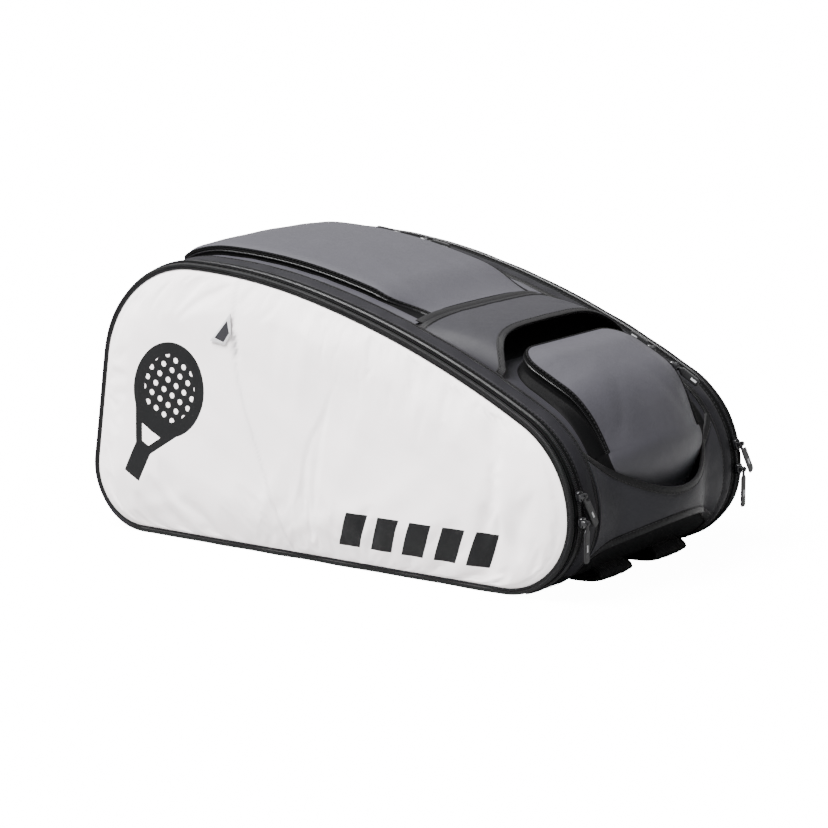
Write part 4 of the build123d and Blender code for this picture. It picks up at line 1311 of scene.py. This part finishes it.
def addZipEnd(name, origin, along, out, pullWay, pullOut, length, leanDegrees):
    # The slider sits on the coil; the pull hangs on its pin.
    out = np.array(out, float)
    slider = seat(sliderForms(), origin, along, out)
    addPiece(camel(name) + "Slider", f"{name}_slider", "sliderMetal", *slider, sharp=40)
    pull = seat(pullForms(length, leanDegrees), origin + out * zipEnd["pin"], pullWay, pullOut)
    addPiece(camel(name) + "Pull", f"{name}_pull", "pullRubber", *pull, sharp=40)


for sideName, sideSign in sides.items():
    for which in ("upper", "lower"):
        heading, height, leanDegrees = parked[which]
        s = lengthAt(heading)
        addZipEnd(f"{sideName}_{which}", onBag(s, sideSign * bag["coil"], height), forwardAt(s), outwardAt(s),
                  (0, 0, -1), (1, 0, 0), zipEnd["doorPull"], leanDegrees)
for lidName, lid in (("main", mainLid), ("front", pocket)):
    for zipName in (f"{lidName}_a", f"{lidName}_b"):
        heading, height, way = parked[zipName]
        s = lengthAt(heading)
        addZipEnd(zipName, onBag(s, lid["half"], height), forwardAt(s), (0, 1, 0),
                  forwardAt(s) * way, (0, 1, 0), zipEnd["lidPull"], 0.0)
print("zip sliders and pulls made")

studio = {
    "floor": (0.38, 0.38, 0.38), "glow": 14.0, "world": 0.34, "floorHalf": 30, "floorZ": -0.0006,
    "key": {"from": (-0.25, -0.42, 0.87), "power": 19.5, "angle": 35},
    "top": {"from": (-0.30, 0.45, 0.80), "power": 1.2, "angle": 70},
    "camera": (1.9268, -2.7219, 0.7994), "azimuth": 35.47, "elevation": 11.45, "lens": 147.8,
}


def makeStudio():
    scene = bpy.context.scene
    world = bpy.data.worlds.new("soft studio")
    world.use_nodes = True
    back = world.node_tree
    setInputs(back, back.nodes["Background"], {"Color": (1, 1, 1, 1), "Strength": studio["world"]})
    scene.world = world
    mesh = bpy.data.meshes.new("studioFloor")
    far, level = studio["floorHalf"], studio["floorZ"]
    corners = [(x * far, y * far, level) for x, y in ((-1, -1), (1, -1), (1, 1), (-1, 1))]
    mesh.from_pydata(corners, [], [(0, 1, 2, 3)])
    floor = bpy.data.objects.new("studioFloor", mesh)
    scene.collection.objects.link(floor)
    material = bpy.data.materials.new("pale floor")
    material.use_nodes = True
    tree = material.node_tree
    seen = Value(tree, addNode(tree, "ShaderNodeLightPath").outputs["Is Camera Ray"])
    setInputs(tree, tree.nodes["Principled BSDF"], {
        "Base Color": (*studio["floor"], 1), "Roughness": 0.8, "Emission Color": (1, 1, 1, 1),
        "Emission Strength": seen * studio["glow"],  # the floor glows to the eye but lights nothing
    })
    mesh.materials.append(material)
    for name in ("key", "top"):
        facts = studio[name]
        light = bpy.data.lights.new(name + "Light", "SUN")
        light.energy, light.angle = facts["power"], math.radians(facts["angle"])
        lamp = bpy.data.objects.new(name + "Light", light)
        lamp.rotation_euler = Vector(facts["from"]).to_track_quat("Z", "Y").to_euler()
        scene.collection.objects.link(lamp)
    data = bpy.data.cameras.new("camera")
    data.lens, data.sensor_width = studio["lens"], 36.0
    camera = bpy.data.objects.new("camera", data)
    camera.location = studio["camera"]
    camera.rotation_euler = (math.radians(90 - studio["elevation"]), 0, math.radians(studio["azimuth"]))
    scene.collection.objects.link(camera)
    scene.camera = camera


makeStudio()
print("studio ready")
